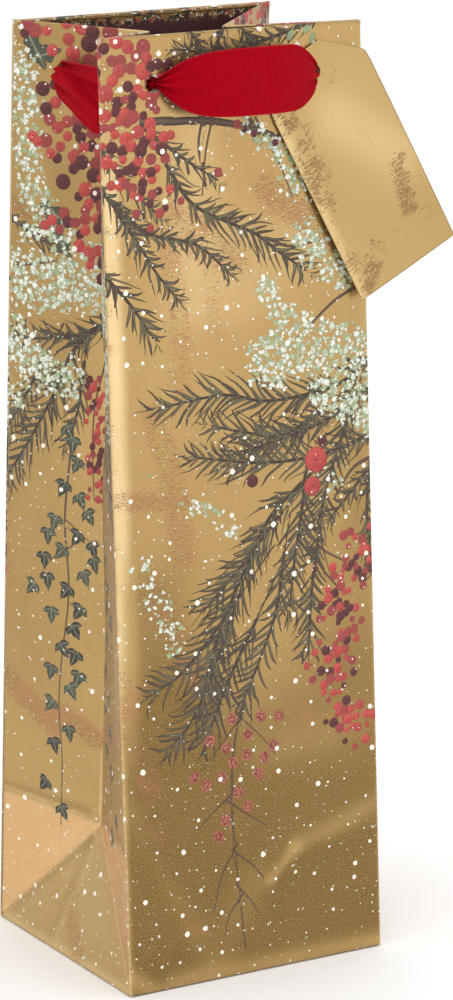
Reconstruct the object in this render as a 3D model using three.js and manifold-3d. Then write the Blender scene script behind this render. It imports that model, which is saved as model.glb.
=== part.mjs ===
// Wine gift bag: a gusseted foil-paper bag with a threaded ribbon and a hanging tag.
// Millimetres, +Z up, front panel facing -Y, origin at the middle of the underside.
import * as THREE from "three";
import { mergeVertices } from "three/addons/utils/BufferGeometryUtils.js";
import Module from "manifold-3d";

const wasm = await Module();
wasm.setup();

// Driving dimensions of the folded sheet.
const bagWidth = 112;
const bagDepth = 106;
const panelLength = 360;
const mouthDepth = 66;
const paper = 0.4;
const gap = 0.3;

// Turned-in hem, its card stiffener and the card base insert.
const hemDepth = 38;
const hemEndMargin = 12;
const leafHemMargin = 6;
const stiffener = 0.8;
const baseBoard = 1.2;
const baseBoardMargin = { side: 3, front: 1.5 };

// Clearances that the creases need while the mouth closes.
const creaseGap = 0.8;
const apexGap = 1.8;
const hemApexGap = 4.2;
const topCornerCut = 3.6;

// Bottom flaps and glued side seam.
const bottomFlapReach = 70;
const sideTuckReach = 40;
const seamTab = { width: 14, margin: 6, foot: 8 };

// Punched holes, ribbon and tag.
const holeInset = 22;
const holeDrop = 17.7;
const holeRadius = 3.2;
const ribbonWidth = 25;
const ribbonThickness = 0.8;
const ribbonBulge = 10.5;
const ribbonNeckRadius = 1.6;
const handleSag = 2.4;
const tagWidth = 47;
const tagLength = 95;
const tagThickness = 0.6;
const tagStandOff = 0.5;
const tagHoleFromEnd = 9;
const tagCornerCut = { across: 16, along: 13 };
const tagTilt = THREE.MathUtils.degToRad(26.7);

// Geometry that follows from the driving dimensions.
const halfWidth = bagWidth / 2;
const halfDepth = bagDepth / 2;
const lean = Math.asin((halfDepth - mouthDepth / 2) / panelLength);
const triangleLean = Math.acos((1 - Math.sin(lean)) / Math.cos(lean));
const hemLevel = paper + gap + stiffener + gap;
const handleStandOff = tagStandOff + tagThickness + 2 * gap + ribbonThickness;

const finishes = {
  foilPaper: { color: 0xc9a868, roughness: 0.38, metalness: 0.75 },
  paperBack: { color: 0xd9cfc0, roughness: 0.85, metalness: 0 },
  card: { color: 0xb9a27e, roughness: 0.9, metalness: 0 },
  ribbon: { color: 0xb0001a, roughness: 0.62, metalness: 0 },
  tagCard: { color: 0xd2b06c, roughness: 0.42, metalness: 0.7 },
};

function namedMesh(name, geometry, finish) {
  const mesh = new THREE.Mesh(geometry, new THREE.MeshStandardMaterial(finish));
  mesh.name = name;
  return mesh;
}

// Circular hole as a path for a shape.
function holePath(centre, radius) {
  const path = new THREE.Path();
  path.absarc(centre.x, centre.y, radius, 0, 2 * Math.PI, true);
  return path;
}

function slabGeometry(outline, thickness, holes = []) {
  const shape = new THREE.Shape(outline);
  for (const hole of holes) {
    shape.holes.push(holePath(hole, hole.radius ?? holeRadius));
  }
  return new THREE.ExtrudeGeometry(shape, { depth: thickness, bevelEnabled: false, curveSegments: 8 });
}

// Moves each side of a counter-clockwise outline inwards by its own margin.
function insetOutline(outline, margins) {
  const sides = outline.map((start, i) => {
    const direction = outline[(i + 1) % outline.length].clone().sub(start).normalize();
    const normal = new THREE.Vector2(-direction.y, direction.x);
    return { point: start.clone().addScaledVector(normal, margins[i]), direction };
  });
  return sides.map((side, i) => {
    const before = sides[(i + sides.length - 1) % sides.length];
    const between = before.point.clone().sub(side.point);
    const along = before.direction.cross(between) / before.direction.cross(side.direction);
    return side.point.clone().addScaledVector(side.direction, along);
  });
}

// Flat sheet through corners given in space; its thickness grows towards an inner point.
// margins[i] draws in the side from corner i to corner i + 1; level is how deep the sheet lies.
function facet(name, corners, towards, margins, finish, options = {}) {
  const { thickness = paper, level = 0, holes = [] } = options;
  const alongX = corners[1].clone().sub(corners[0]).normalize();
  const normal = alongX.clone().cross(corners[2].clone().sub(corners[0])).normalize();
  const facesInner = normal.dot(towards.clone().sub(corners[0])) > 0;
  const alongZ = facesInner ? normal : normal.negate();
  const alongY = alongZ.clone().cross(alongX);
  const toFlat = (point) => {
    const offset = point.clone().sub(corners[0]);
    return new THREE.Vector2(offset.dot(alongX), offset.dot(alongY));
  };
  const outline = corners.map(toFlat);
  const turned = facesInner ? margins : margins.toReversed();
  const ordered = facesInner ? outline : outline.toReversed();
  const shifted = facesInner ? turned : [...turned.slice(1), turned[0]];
  const geometry = slabGeometry(insetOutline(ordered, shifted), thickness, holes.map(toFlat));
  const mesh = namedMesh(name, geometry, finish);
  mesh.quaternion.setFromRotationMatrix(new THREE.Matrix4().makeBasis(alongX, alongY, alongZ));
  mesh.position.copy(corners[0]).addScaledVector(alongZ, level);
  return mesh;
}

// Closed solid from a geometry, for cutting and joining.
function solid(geometry) {
  const plain = geometry.clone();
  plain.deleteAttribute("normal");
  plain.deleteAttribute("uv");
  const merged = mergeVertices(plain, 1e-4);
  const vertProperties = Float32Array.from(merged.attributes.position.array);
  const triVerts = Uint32Array.from(merged.index.array);
  return new wasm.Manifold(new wasm.Mesh({ numProp: 3, vertProperties, triVerts }));
}

function geometryOf(manifold) {
  const mesh = manifold.getMesh();
  const geometry = new THREE.BufferGeometry();
  geometry.setAttribute("position", new THREE.BufferAttribute(mesh.vertProperties, 3));
  geometry.setIndex(new THREE.BufferAttribute(mesh.triVerts, 1));
  return geometry;
}

function circleMeeting(centreA, radiusA, centreB, radiusB) {
  const between = centreB.clone().sub(centreA);
  const distance = between.length();
  const along = (radiusA ** 2 - radiusB ** 2 + distance ** 2) / (2 * distance);
  const aside = Math.sqrt(radiusA ** 2 - along ** 2);
  const direction = between.divideScalar(distance);
  const across = new THREE.Vector2(-direction.y, direction.x);
  return centreA.clone().addScaledVector(direction, along).addScaledVector(across, aside);
}

// Crease points of the left front quarter; the others are its mirror images.
// The foot triangle, the lower facet and the upper leaf of a gusset meet at the junction.
function gussetPoints() {
  const foot = new THREE.Vector3(-halfWidth, -halfDepth, 0);
  const top = new THREE.Vector3(-halfWidth, -mouthDepth / 2, panelLength * Math.cos(lean));
  const junction = new THREE.Vector3(
    -halfWidth + halfDepth * Math.sin(triangleLean), 0, halfDepth * Math.cos(triangleLean));
  const reach = Math.sqrt(halfDepth ** 2 - (mouthDepth / 2) ** 2);
  const apexFlat = circleMeeting(
    new THREE.Vector2(top.x, top.z), reach,
    new THREE.Vector2(junction.x, junction.z), panelLength - halfDepth);
  const apex = new THREE.Vector3(apexFlat.x, 0, apexFlat.y);
  return { foot, top, junction, apex };
}

const quarter = gussetPoints();

function mirrored(point, side, end) {
  return new THREE.Vector3(point.x * side, point.y * end, point.z);
}

function between(start, end, distance) {
  return start.clone().addScaledVector(end.clone().sub(start).normalize(), distance);
}

// Point of the leaf where its hole is punched, in the left front quarter.
function leafHolePoint() {
  const across = quarter.apex.clone().sub(quarter.top).normalize();
  const down = quarter.foot.clone().sub(quarter.top).normalize();
  const leafNormal = across.clone().cross(quarter.junction.clone().sub(quarter.top)).normalize();
  const point = quarter.top.clone().addScaledVector(across, holeInset).addScaledVector(down, holeDrop);
  return point.addScaledVector(leafNormal, -leafNormal.dot(point.clone().sub(quarter.top)));
}

// One quarter of the gussets: lower facet and upper leaf with its turned-in hem.
function gussetHalf(label, side, end) {
  const [foot, top, junction, apex] = [quarter.foot, quarter.top, quarter.junction, quarter.apex]
    .map((point) => mirrored(point, side, end));
  const hole = mirrored(leafHolePoint(), side, end);
  const inner = new THREE.Vector3(0, -end * halfDepth, panelLength / 2);
  const cutTop = between(top, apex, topCornerCut);
  const cutSide = between(top, junction, topCornerCut * panelLength / halfDepth);
  const leaf = facet(`${label}_leaf`, [cutTop, apex, junction, cutSide], inner,
    [0, apexGap, gap, 0], finishes.foilPaper, { holes: [hole] });
  const hem = facet(`${label}_hem`,
    [top, apex, between(apex, junction, hemDepth), between(top, junction, hemDepth)], inner,
    [gap, hemApexGap, 0, leafHemMargin], finishes.paperBack, { level: paper + gap, holes: [hole] });
  const diagonalFacets = end > 0
    ? [facet(`${label}_facet`, [foot, junction, top], inner,
      [creaseGap, gap, creaseGap], finishes.foilPaper)]
    : footedFacets(label, foot, top, junction, inner);
  return [leaf, hem, ...diagonalFacets];
}

// The rear half of a gusset also has the level crease that lets the base fold up behind.
function footedFacets(label, foot, top, junction, inner) {
  const crease = between(foot, top, halfDepth);
  return [
    facet(`${label}_foot`, [foot, junction, crease], inner,
      [creaseGap, gap / 2, creaseGap], finishes.foilPaper),
    facet(`${label}_facet`, [crease, junction, top], inner,
      [gap / 2, gap, creaseGap], finishes.foilPaper),
  ];
}

function footTriangle(label, side) {
  const corners = [mirrored(quarter.foot, side, 1), mirrored(quarter.foot, side, -1),
    mirrored(quarter.junction, side, 1)];
  return facet(`${label}_foot_triangle`, corners, new THREE.Vector3(0, 0, 0),
    [creaseGap, creaseGap, creaseGap], finishes.foilPaper);
}

// Rectangle in a panel's own plane: x across, y up the panel, and z out of it.
function panelSheet(name, left, right, bottom, top, level, thickness, finish, holes) {
  const outline = [[left, bottom], [right, bottom], [right, top], [left, top]]
    .map(([x, y]) => new THREE.Vector2(x, y));
  const mesh = namedMesh(name, slabGeometry(outline, thickness, holes), finish);
  mesh.position.z = -level - thickness;
  return mesh;
}

const holeHeight = panelLength - holeDrop;

function panelHoles() {
  return [-1, 1].map((side) => new THREE.Vector2(side * (halfWidth - holeInset), holeHeight));
}

// Band of ribbon that bows away from its two ends and narrows to a neck at each.
function ribbonBand(halfSpan, standOff, bulge, sag) {
  const stations = 16;
  const profile = Array.from({ length: stations + 1 }, (_, i) => {
    const x = -halfSpan + (2 * halfSpan * i) / stations;
    return { x, bow: standOff + bulge * Math.cos((Math.PI * x) / (2 * halfSpan)) };
  });
  const outer = profile.map(({ x, bow }) => new THREE.Vector2(x, -bow));
  const inner = profile.map(({ x, bow }) => new THREE.Vector2(x, -bow + ribbonThickness));
  const strip = slabGeometry([...outer, ...inner.reverse()], 2 * ribbonWidth);
  strip.rotateX(-Math.PI / 2);
  strip.translate(0, -ribbonWidth, 0);
  const halfHeight = (x) => {
    const fromEnd = Math.min(1, (halfSpan - Math.abs(x)) / (0.45 * halfSpan));
    return ribbonNeckRadius + (ribbonWidth / 2 - ribbonNeckRadius) * Math.sin((fromEnd * Math.PI) / 2);
  };
  const drop = (x) => -sag * Math.cos((Math.PI * x) / (2 * halfSpan));
  const lower = profile.map(({ x }) => new THREE.Vector2(x, drop(x) - halfHeight(x)));
  const upper = profile.map(({ x }) => new THREE.Vector2(x, drop(x) + halfHeight(x)));
  const outline = slabGeometry([...lower, ...upper.reverse()], 4 * ribbonWidth);
  outline.translate(0, 0, -2 * ribbonWidth);
  return solid(strip).intersect(solid(outline));
}

function handle(name) {
  const halfSpan = halfWidth - holeInset;
  const geometry = geometryOf(ribbonBand(halfSpan, handleStandOff, ribbonBulge, handleSag));
  const mesh = namedMesh(name, geometry, finishes.ribbon);
  mesh.position.y = holeHeight;
  return mesh;
}

// Tag with two clipped top corners; it hangs from its hole and lies against the panel.
function giftTag() {
  const half = tagWidth / 2;
  const top = tagHoleFromEnd;
  const bottom = top - tagLength;
  const outline = [
    [-half, bottom], [half, bottom],
    [half, top - tagCornerCut.along], [half - tagCornerCut.across, top],
    [tagCornerCut.across - half, top], [-half, top - tagCornerCut.along],
  ].map(([x, y]) => new THREE.Vector2(x, y));
  const mesh = namedMesh("gift_tag", slabGeometry(outline, tagThickness, [new THREE.Vector2(0, 0)]),
    finishes.tagCard);
  mesh.position.set(halfWidth - holeInset, holeHeight, tagStandOff);
  mesh.rotation.z = tagTilt;
  return mesh;
}

// Front or back panel with its card stiffener, turned-in hem and ribbon handle.
function panelAssembly(label) {
  const group = new THREE.Group();
  const hemEnd = halfWidth - hemEndMargin;
  const holes = panelHoles();
  group.add(
    panelSheet(`${label}_panel`, gap / 2 - halfWidth, halfWidth - gap / 2, gap, panelLength,
      0, paper, finishes.foilPaper, holes),
    panelSheet(`${label}_stiffener`, -hemEnd, hemEnd, panelLength - hemDepth + 2, panelLength - 1,
      paper + gap, stiffener, finishes.card, holes),
    panelSheet(`${label}_hem`, -hemEnd, hemEnd, panelLength - hemDepth, panelLength,
      hemLevel, paper, finishes.paperBack, holes),
    handle(`${label}_handle`),
  );
  group.position.y = -halfDepth;
  group.rotation.x = Math.PI / 2 - lean;
  return group;
}

function frontAssembly() {
  const group = panelAssembly("front");
  group.add(giftTag());
  return group;
}

// The back is the front turned about the bag's upright axis, with the glued seam tab in place of the tag.
function backAssembly() {
  const panel = panelAssembly("back");
  panel.add(panelSheet("seam_tab", seamTab.margin - halfWidth, seamTab.margin + seamTab.width - halfWidth,
    seamTab.foot, panelLength - hemDepth - 2, paper + gap, paper, finishes.paperBack, []));
  const turned = new THREE.Group();
  turned.rotation.z = Math.PI;
  turned.add(panel);
  return turned;
}

function levelSheet(name, outline, level, thickness, finish) {
  const points = outline.map(([x, y]) => new THREE.Vector2(x, y));
  const mesh = namedMesh(name, slabGeometry(points, thickness), finish);
  mesh.position.z = level;
  return mesh;
}

// Folded bottom: two tucks inside, then the back and front flaps glued over each other.
function bottomAssembly() {
  const group = new THREE.Group();
  const side = halfWidth - 1.5;
  const edge = halfDepth - 0.8;
  const tuckSide = halfWidth - 2;
  const tuckEdge = halfDepth - 1.5;
  const flap = (end) => [
    [-side, -edge * end], [side, -edge * end],
    [side, (bottomFlapReach - edge) * end], [-side, (bottomFlapReach - edge) * end],
  ];
  const tuck = (hand) => [
    [-tuckSide * hand, -tuckEdge], [(sideTuckReach - tuckSide) * hand, sideTuckReach - tuckEdge],
    [(sideTuckReach - tuckSide) * hand, tuckEdge - sideTuckReach], [-tuckSide * hand, tuckEdge],
  ];
  const board = { x: halfWidth - baseBoardMargin.side, y: halfDepth - baseBoardMargin.front };
  const step = paper + gap;
  group.add(
    levelSheet("bottom_front_flap", flap(1), 0, paper, finishes.foilPaper),
    levelSheet("bottom_back_flap", flap(-1), step, paper, finishes.foilPaper),
    levelSheet("bottom_left_tuck", tuck(1), 2 * step, paper, finishes.foilPaper),
    levelSheet("bottom_right_tuck", tuck(-1), 2 * step, paper, finishes.foilPaper),
    levelSheet("base_board",
      [[-board.x, -board.y], [board.x, -board.y], [board.x, board.y], [-board.x, board.y]],
      3 * step, baseBoard, finishes.card),
  );
  return group;
}

// Neck of gathered ribbon through a panel hole and the leaf hole behind it.
function ribbonNeck(start, end) {
  const section = new THREE.Shape();
  section.absarc(0, 0, ribbonNeckRadius, 0, 2 * Math.PI);
  const path = new THREE.LineCurve3(start, end);
  return new THREE.ExtrudeGeometry(section,
    { steps: 1, extrudePath: path, bevelEnabled: false, curveSegments: 4 });
}

// Stretch of ribbon at a side: through both corners of the bag and across the mouth of the gusset.
function sideRibbon(label, side) {
  const panelHole = new THREE.Vector3(holeInset - halfWidth,
    -halfDepth + holeHeight * Math.sin(lean), holeHeight * Math.cos(lean));
  const leafHole = leafHolePoint();
  const direction = leafHole.clone().sub(panelHole).normalize();
  const outside = panelHole.clone().addScaledVector(direction, -(tagStandOff + tagThickness + gap));
  const past = leafHole.clone().addScaledVector(direction, 2 * ribbonThickness);
  const halfSpan = Math.abs(past.y) + ribbonThickness / 2;
  const band = geometryOf(ribbonBand(halfSpan, 0, ribbonBulge * 0.7, handleSag));
  band.rotateX(Math.PI / 2);
  band.rotateZ(-Math.PI / 2);
  band.translate(past.x - ribbonThickness / 2, 0, past.z);
  const whole = solid(band)
    .add(solid(ribbonNeck(outside, past)))
    .add(solid(ribbonNeck(mirrored(outside, 1, -1), mirrored(past, 1, -1))));
  const geometry = geometryOf(whole);
  if (side < 0) {
    geometry.rotateZ(Math.PI);
  }
  return namedMesh(`${label}_ribbon`, geometry, finishes.ribbon);
}

function gussetAssembly(label, side) {
  const group = new THREE.Group();
  group.add(
    footTriangle(label, side),
    ...gussetHalf(`${label}_front`, side, 1),
    ...gussetHalf(`${label}_rear`, side, -1),
    sideRibbon(label, side),
  );
  return group;
}

const bag = new THREE.Group();
bag.add(
  bottomAssembly(),
  frontAssembly(),
  backAssembly(),
  gussetAssembly("left", 1),
  gussetAssembly("right", -1),
);

export default bag;
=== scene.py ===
"""Looks of a wine gift bag: printed gold foil paper, gathered ribbon handles and a hanging tag.

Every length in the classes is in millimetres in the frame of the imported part; SCALE turns it to metres.
The printed design is laid out on the flat sheet: s runs across it and t runs up it.
"""
import logging
import math
from collections.abc import Callable
from dataclasses import dataclass
from enum import Enum

import bmesh
import bpy
import numpy as np
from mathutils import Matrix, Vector


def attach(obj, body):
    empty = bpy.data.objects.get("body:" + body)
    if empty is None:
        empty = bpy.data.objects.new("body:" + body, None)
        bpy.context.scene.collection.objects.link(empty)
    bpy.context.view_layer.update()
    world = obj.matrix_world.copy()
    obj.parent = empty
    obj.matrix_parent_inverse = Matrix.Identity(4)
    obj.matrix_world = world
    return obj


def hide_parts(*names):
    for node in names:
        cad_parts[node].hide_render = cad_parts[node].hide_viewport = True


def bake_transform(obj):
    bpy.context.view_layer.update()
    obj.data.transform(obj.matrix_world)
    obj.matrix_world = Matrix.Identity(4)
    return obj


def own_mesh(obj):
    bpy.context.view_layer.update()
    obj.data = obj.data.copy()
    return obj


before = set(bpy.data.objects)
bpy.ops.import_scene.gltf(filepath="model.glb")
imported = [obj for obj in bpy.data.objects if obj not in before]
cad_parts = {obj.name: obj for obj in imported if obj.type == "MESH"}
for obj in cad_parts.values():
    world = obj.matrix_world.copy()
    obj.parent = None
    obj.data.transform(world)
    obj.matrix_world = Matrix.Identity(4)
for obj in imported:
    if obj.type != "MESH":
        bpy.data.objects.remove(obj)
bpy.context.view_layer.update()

SCALE = 0.001
log = logging.getLogger("gift_bag")
Array = np.ndarray
Piece = bpy.types.Object
Socket = bpy.types.NodeSocket
Value = Socket | float | tuple
# Turns points and directions from one side of the bag's middle plane to the other, front to rear.
FRONT_TO_REAR = np.array([1, -1, 1])
# Height in metres that the lamps point at: the middle of the bag.
AIM_HEIGHT = 0.18


def unit(vector: Array) -> Array:
    """Vector of length one in the same direction."""
    vector = np.asarray(vector, float)
    return vector / np.linalg.norm(vector)


def smooth(low: float, high: float, value: Array) -> Array:
    """Soft step from 0 at low to 1 at high: 3x squared less 2x cubed of the share between them."""
    share = np.clip((value - low) / (high - low), 0, 1)
    return share * share * (3 - 2 * share)


# ---------------------------------------------------------------------------
# The folded sheet


@dataclass(frozen=True)
class FoldedSheet:
    """Sizes of the folded bag and the points where its creases meet, for the left front quarter."""

    width: float = 112.0
    depth: float = 106.0
    length: float = 360.0
    mouth: float = 66.0
    paper: float = 0.3
    hole_inset: float = 22.0
    hole_drop: float = 17.7
    hole_radius: float = 3.2
    hem: float = 38.0

    @property
    def half(self) -> float:
        """Half of the depth, which is also the width of one gusset leaf."""
        return self.depth / 2

    @property
    def lean(self) -> float:
        """Angle that a panel leans in, in radians."""
        return math.asin((self.depth - self.mouth) / 2 / self.length)

    @property
    def up(self) -> Array:
        """Direction up the front panel."""
        return np.array([0, math.sin(self.lean), math.cos(self.lean)])

    @property
    def out(self) -> Array:
        """Direction out of the front panel."""
        return np.array([0, -math.cos(self.lean), math.sin(self.lean)])

    @property
    def foot(self) -> Array:
        """Bottom corner."""
        return np.array([-self.width / 2, -self.half, 0.0])

    @property
    def top(self) -> Array:
        """Top corner: the bottom corner plus the length up the panel."""
        return self.foot + self.length * self.up

    @property
    def junction(self) -> Array:
        """Point where the gusset's centre crease meets the two diagonals."""
        angle = math.acos((1 - math.sin(self.lean)) / math.cos(self.lean))
        return np.array([-self.width / 2 + self.half * math.sin(angle), 0.0, self.half * math.cos(angle)])

    @property
    def apex(self) -> Array:
        """Top of the centre crease: a leaf's width from the top corner, a crease's length from the junction."""
        top, junction = self.top, self.junction
        reach_top = math.sqrt(self.half**2 - (self.mouth / 2) ** 2)
        reach_junction = self.length - self.half
        between = np.array([junction[0] - top[0], junction[2] - top[2]])
        distance = np.linalg.norm(between)
        along = (reach_top**2 - reach_junction**2 + distance**2) / (2 * distance)
        aside = math.sqrt(reach_top**2 - along**2)
        direction = between / distance
        place = np.array([top[0], top[2]]) + along * direction + aside * np.array([-direction[1],
                                                                                   direction[0]])
        return np.array([place[0], 0.0, place[1]])


SHEET = FoldedSheet()


def waves(s: Array, t: Array, seed: int, height: float = 0.16) -> Array:
    """Slow unevenness of the paper in millimetres: a sum of long sine waves that run in seeded directions."""
    rng = np.random.default_rng(seed)
    total = np.zeros_like(s, dtype=float)
    for length in (150.0, 95.0, 70.0, 48.0, 33.0):
        angle, phase = rng.uniform(0, 2 * math.pi, 2)
        slant = rng.uniform(-0.7, 0.7)
        carrier = (s * math.cos(angle) + t * math.sin(angle)) / length
        total += (length / 95.0) * np.sin(2 * math.pi * (carrier + slant * np.sin(t / 61.0)) + phase)
    return height * total


# ---------------------------------------------------------------------------
# Surfaces


def grid_faces(columns: int, rows: int, first: int = 0, flip: bool = False) -> Array:
    """Four corners of each cell of a grid of columns by rows points, stored row by row."""
    i, j = np.meshgrid(np.arange(columns - 1), np.arange(rows - 1))
    a = (first + j * columns + i).ravel()
    quads = np.stack([a, a + 1, a + 1 + columns, a + columns], axis=1)
    return quads[:, ::-1] if flip else quads


def border(columns: int, rows: int) -> Array:
    """Indices round the edge of a grid, anticlockwise from its first point."""
    index = np.arange(columns * rows).reshape(rows, columns)
    return np.concatenate([index[0, :-1], index[:-1, -1], index[-1, :0:-1], index[:0:-1, 0]])


def zip_rings(outer: Array, outer_key: Array, inner: Array, inner_key: Array) -> Array:
    """Triangles between two rings of points whose keys grow in the same direction over one turn from 0 to 1.

    Each edge of one ring is joined to the point of the other ring that was passed last.
    """
    a_order, b_order = np.argsort(outer_key), np.argsort(inner_key)
    a, ka = outer[a_order], outer_key[a_order]
    b, kb = inner[b_order], inner_key[b_order]
    a_next, b_next = np.roll(a, -1), np.roll(b, -1)
    ka_next = np.append(ka[1:], ka[0] + 1)
    kb_next = np.append(kb[1:], kb[0] + 1)
    seen_b = b[(np.searchsorted(kb, ka_next, side="right") - 1) % len(b)]
    wraps = ka_next >= kb[0] + 1
    seen_b = np.where(wraps, b[(np.searchsorted(kb, ka_next - 1, side="right") - 1) % len(b)], seen_b)
    seen_a = a[(np.searchsorted(ka, kb_next, side="left") - 1) % len(a)]
    wraps = kb_next > ka[0] + 1
    seen_a = np.where(wraps, a[(np.searchsorted(ka, kb_next - 1, side="left") - 1) % len(a)], seen_a)
    first = np.stack([a, a_next, seen_b], axis=1)
    second = np.stack([b_next, b, seen_a], axis=1)
    return np.concatenate([first, second])


@dataclass
class PaperSkin:
    """Closed thin skin of paper: a fine outer grid, a coarser inner grid, and strips round edges and holes.

    flat holds the sheet coordinates of the outer grid, outer its points and inward the unit direction
    through the paper, all with shape (rows, columns, n).
    """

    flat: Array
    outer: Array
    inward: Array
    thickness: float = SHEET.paper
    holes: tuple = ()
    hole_radius: float = SHEET.hole_radius
    coarse: int = 4

    def cut_holes(self, flat: Array, quads: Array) -> tuple:
        """Leaves out the cells whose centre is in a hole and draws the edge points onto its circle.

        Args:
            flat: sheet coordinates of the points.
            quads: cells of the grid.

        Returns:
            Kept cells, moved sheet coordinates, and the ring of point indices of each hole.
        """
        rings = []
        moved = flat.copy()
        keep = np.ones(len(quads), bool)
        for hole in self.holes:
            centre = np.array(hole)
            middle = flat[quads].mean(axis=1)
            inside = np.linalg.norm(middle - centre, axis=1) < self.hole_radius
            ring = np.intersect1d(quads[inside], quads[~inside & keep])
            offset = flat[ring] - centre
            moved[ring] = centre + self.hole_radius * offset / np.linalg.norm(offset, axis=1)[:, None]
            keep &= ~inside
            rings.append(ring)
        return quads[keep], moved, rings

    @staticmethod
    def resample(moved: Array, flat: Array, points: Array, rows: int, columns: int) -> Array:
        """Moves points along the surface as far as their sheet coordinates moved, by the local slopes."""
        grid = points.reshape(rows, columns, 3)
        plane = flat.reshape(rows, columns, 2)
        d_col, d_row = np.gradient(grid, axis=1), np.gradient(grid, axis=0)
        f_col, f_row = np.gradient(plane, axis=1), np.gradient(plane, axis=0)
        shift = (moved - flat).reshape(rows, columns, 2)
        det = f_col[..., 0] * f_row[..., 1] - f_col[..., 1] * f_row[..., 0]
        u = (shift[..., 0] * f_row[..., 1] - shift[..., 1] * f_row[..., 0]) / det
        v = (f_col[..., 0] * shift[..., 1] - f_col[..., 1] * shift[..., 0]) / det
        return (grid + u[..., None] * d_col + v[..., None] * d_row).reshape(-1, 3)

    def build(self, name: str, flip: bool = False) -> Piece:
        """Makes the mesh object; outer faces use material slot 0 and the rest slot 1."""
        rows, columns = self.flat.shape[:2]
        row_pick = np.unique(np.append(np.arange(0, rows, self.coarse), rows - 1))
        column_pick = np.unique(np.append(np.arange(0, columns, self.coarse), columns - 1))
        flat_outer = self.flat.reshape(-1, 2)
        outer_quads, outer_flat, outer_rings = self.cut_holes(flat_outer, grid_faces(columns, rows, 0, flip))
        outer = self.resample(outer_flat, flat_outer, self.outer.reshape(-1, 3), rows, columns)
        below = (self.outer + self.thickness * self.inward)[np.ix_(row_pick, column_pick)]
        n_rows, n_columns = len(row_pick), len(column_pick)
        flat_inner = self.flat[np.ix_(row_pick, column_pick)].reshape(-1, 2)
        inner_quads, inner_flat, inner_rings = self.cut_holes(flat_inner,
                                                              grid_faces(n_columns, n_rows, 0, not flip))
        inner = self.resample(inner_flat, flat_inner, below.reshape(-1, 3), n_rows, n_columns)
        base = len(outer)
        outer_edge, inner_edge = border(columns, rows), border(n_columns, n_rows)
        strips = [zip_rings(outer_edge, self.edge_key(rows, columns, outer_edge, row_pick, column_pick),
                            inner_edge + base, self.coarse_key(n_rows, n_columns))]
        for centre, ring_a, ring_b in zip(self.holes, outer_rings, inner_rings):
            key_a, key_b = self.turn(outer_flat[ring_a] - centre), self.turn(inner_flat[ring_b] - centre)
            strips.append(zip_rings(ring_a, key_a, ring_b + base, key_b)[:, ::-1])
        strip = np.concatenate(strips)
        strip = strip if flip else strip[:, ::-1]
        points = np.concatenate([outer, inner])
        faces = outer_quads.tolist() + (inner_quads + base).tolist() + strip.tolist()
        which = np.concatenate([np.zeros(len(outer_quads), int), np.ones(len(inner_quads) + len(strip), int)])
        made = mesh_object(name, points, faces, which)
        coordinates = np.concatenate([outer_flat, inner_flat])
        store(made, "sheet", np.column_stack([coordinates, np.zeros(len(coordinates))]))
        used = np.zeros(len(points), bool)
        used[np.concatenate([outer_quads.ravel(), inner_quads.ravel() + base, strip.ravel()])] = True
        drop_loose(made, used)
        return made

    @staticmethod
    def turn(offset: Array) -> Array:
        """Share of a turn of each offset from the centre of a hole."""
        return (np.arctan2(offset[:, 1], offset[:, 0]) / (2 * math.pi)) % 1

    @staticmethod
    def coarse_key(rows: int, columns: int) -> Array:
        """Share of the way round the edge: each of the four sides is a quarter."""
        side = [np.arange(columns - 1) / (columns - 1), np.arange(rows - 1) / (rows - 1)]
        return np.concatenate([side[0], 1 + side[1], 2 + side[0], 3 + side[1]]) / 4

    @staticmethod
    def edge_key(rows: int, columns: int, edge: Array, row_pick: Array, column_pick: Array) -> Array:
        """Share of the way round for the fine grid, matched to the lines that the coarse grid keeps."""
        across = np.interp(np.arange(columns), column_pick,
                           np.arange(len(column_pick)) / (len(column_pick) - 1))
        up = np.interp(np.arange(rows), row_pick, np.arange(len(row_pick)) / (len(row_pick) - 1))
        bottom, right = across[:-1], 1 + up[:-1]
        top, left = 2 + (1 - across[:0:-1]), 3 + (1 - up[:0:-1])
        return np.concatenate([bottom, right, top, left]) / 4


def mesh_object(name: str, points: Array, faces: list, which: Array | None = None) -> Piece:
    """Object at the origin from points in millimetres, faces and the material slot of each face."""
    mesh = bpy.data.meshes.new(name)
    mesh.from_pydata((np.asarray(points) * SCALE).tolist(), [], faces)
    if which is not None:
        mesh.polygons.foreach_set("material_index", np.asarray(which, np.int32))
    mesh.polygons.foreach_set("use_smooth", np.ones(len(mesh.polygons), bool))
    mesh.update()
    made = bpy.data.objects.new(name, mesh)
    bpy.context.scene.collection.objects.link(made)
    return made


def store(piece: Piece, name: str, values: Array) -> None:
    """Keeps a number or a vector for each point of a piece, for its material."""
    values = np.asarray(values, np.float32)
    kind, key = ("FLOAT_VECTOR", "vector") if values.ndim == 2 else ("FLOAT", "value")
    attribute = piece.data.attributes.get(name) or piece.data.attributes.new(name, kind, "POINT")
    attribute.data.foreach_set(key, values.ravel())


def drop_loose(piece: Piece, used: Array) -> None:
    """Removes the points that no face uses."""
    work = bmesh.new()
    work.from_mesh(piece.data)
    work.verts.ensure_lookup_table()
    loose = [work.verts[i] for i in np.flatnonzero(~used)]
    bmesh.ops.delete(work, geom=loose, context="VERTS")
    work.to_mesh(piece.data)
    work.free()


def half_turn(source: Piece, name: str) -> Piece:
    """Copy of a piece turned by half a turn about the bag's upright axis, with the place in its mesh."""
    mesh = source.data.copy()
    mesh.name = name
    points = np.zeros(len(mesh.vertices) * 3, np.float32)
    mesh.vertices.foreach_get("co", points)
    turned = points.reshape(-1, 3) * np.array([-1, -1, 1], np.float32)
    mesh.vertices.foreach_set("co", turned.ravel())
    mesh.update()
    made = bpy.data.objects.new(name, mesh)
    bpy.context.scene.collection.objects.link(made)
    return made


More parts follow.
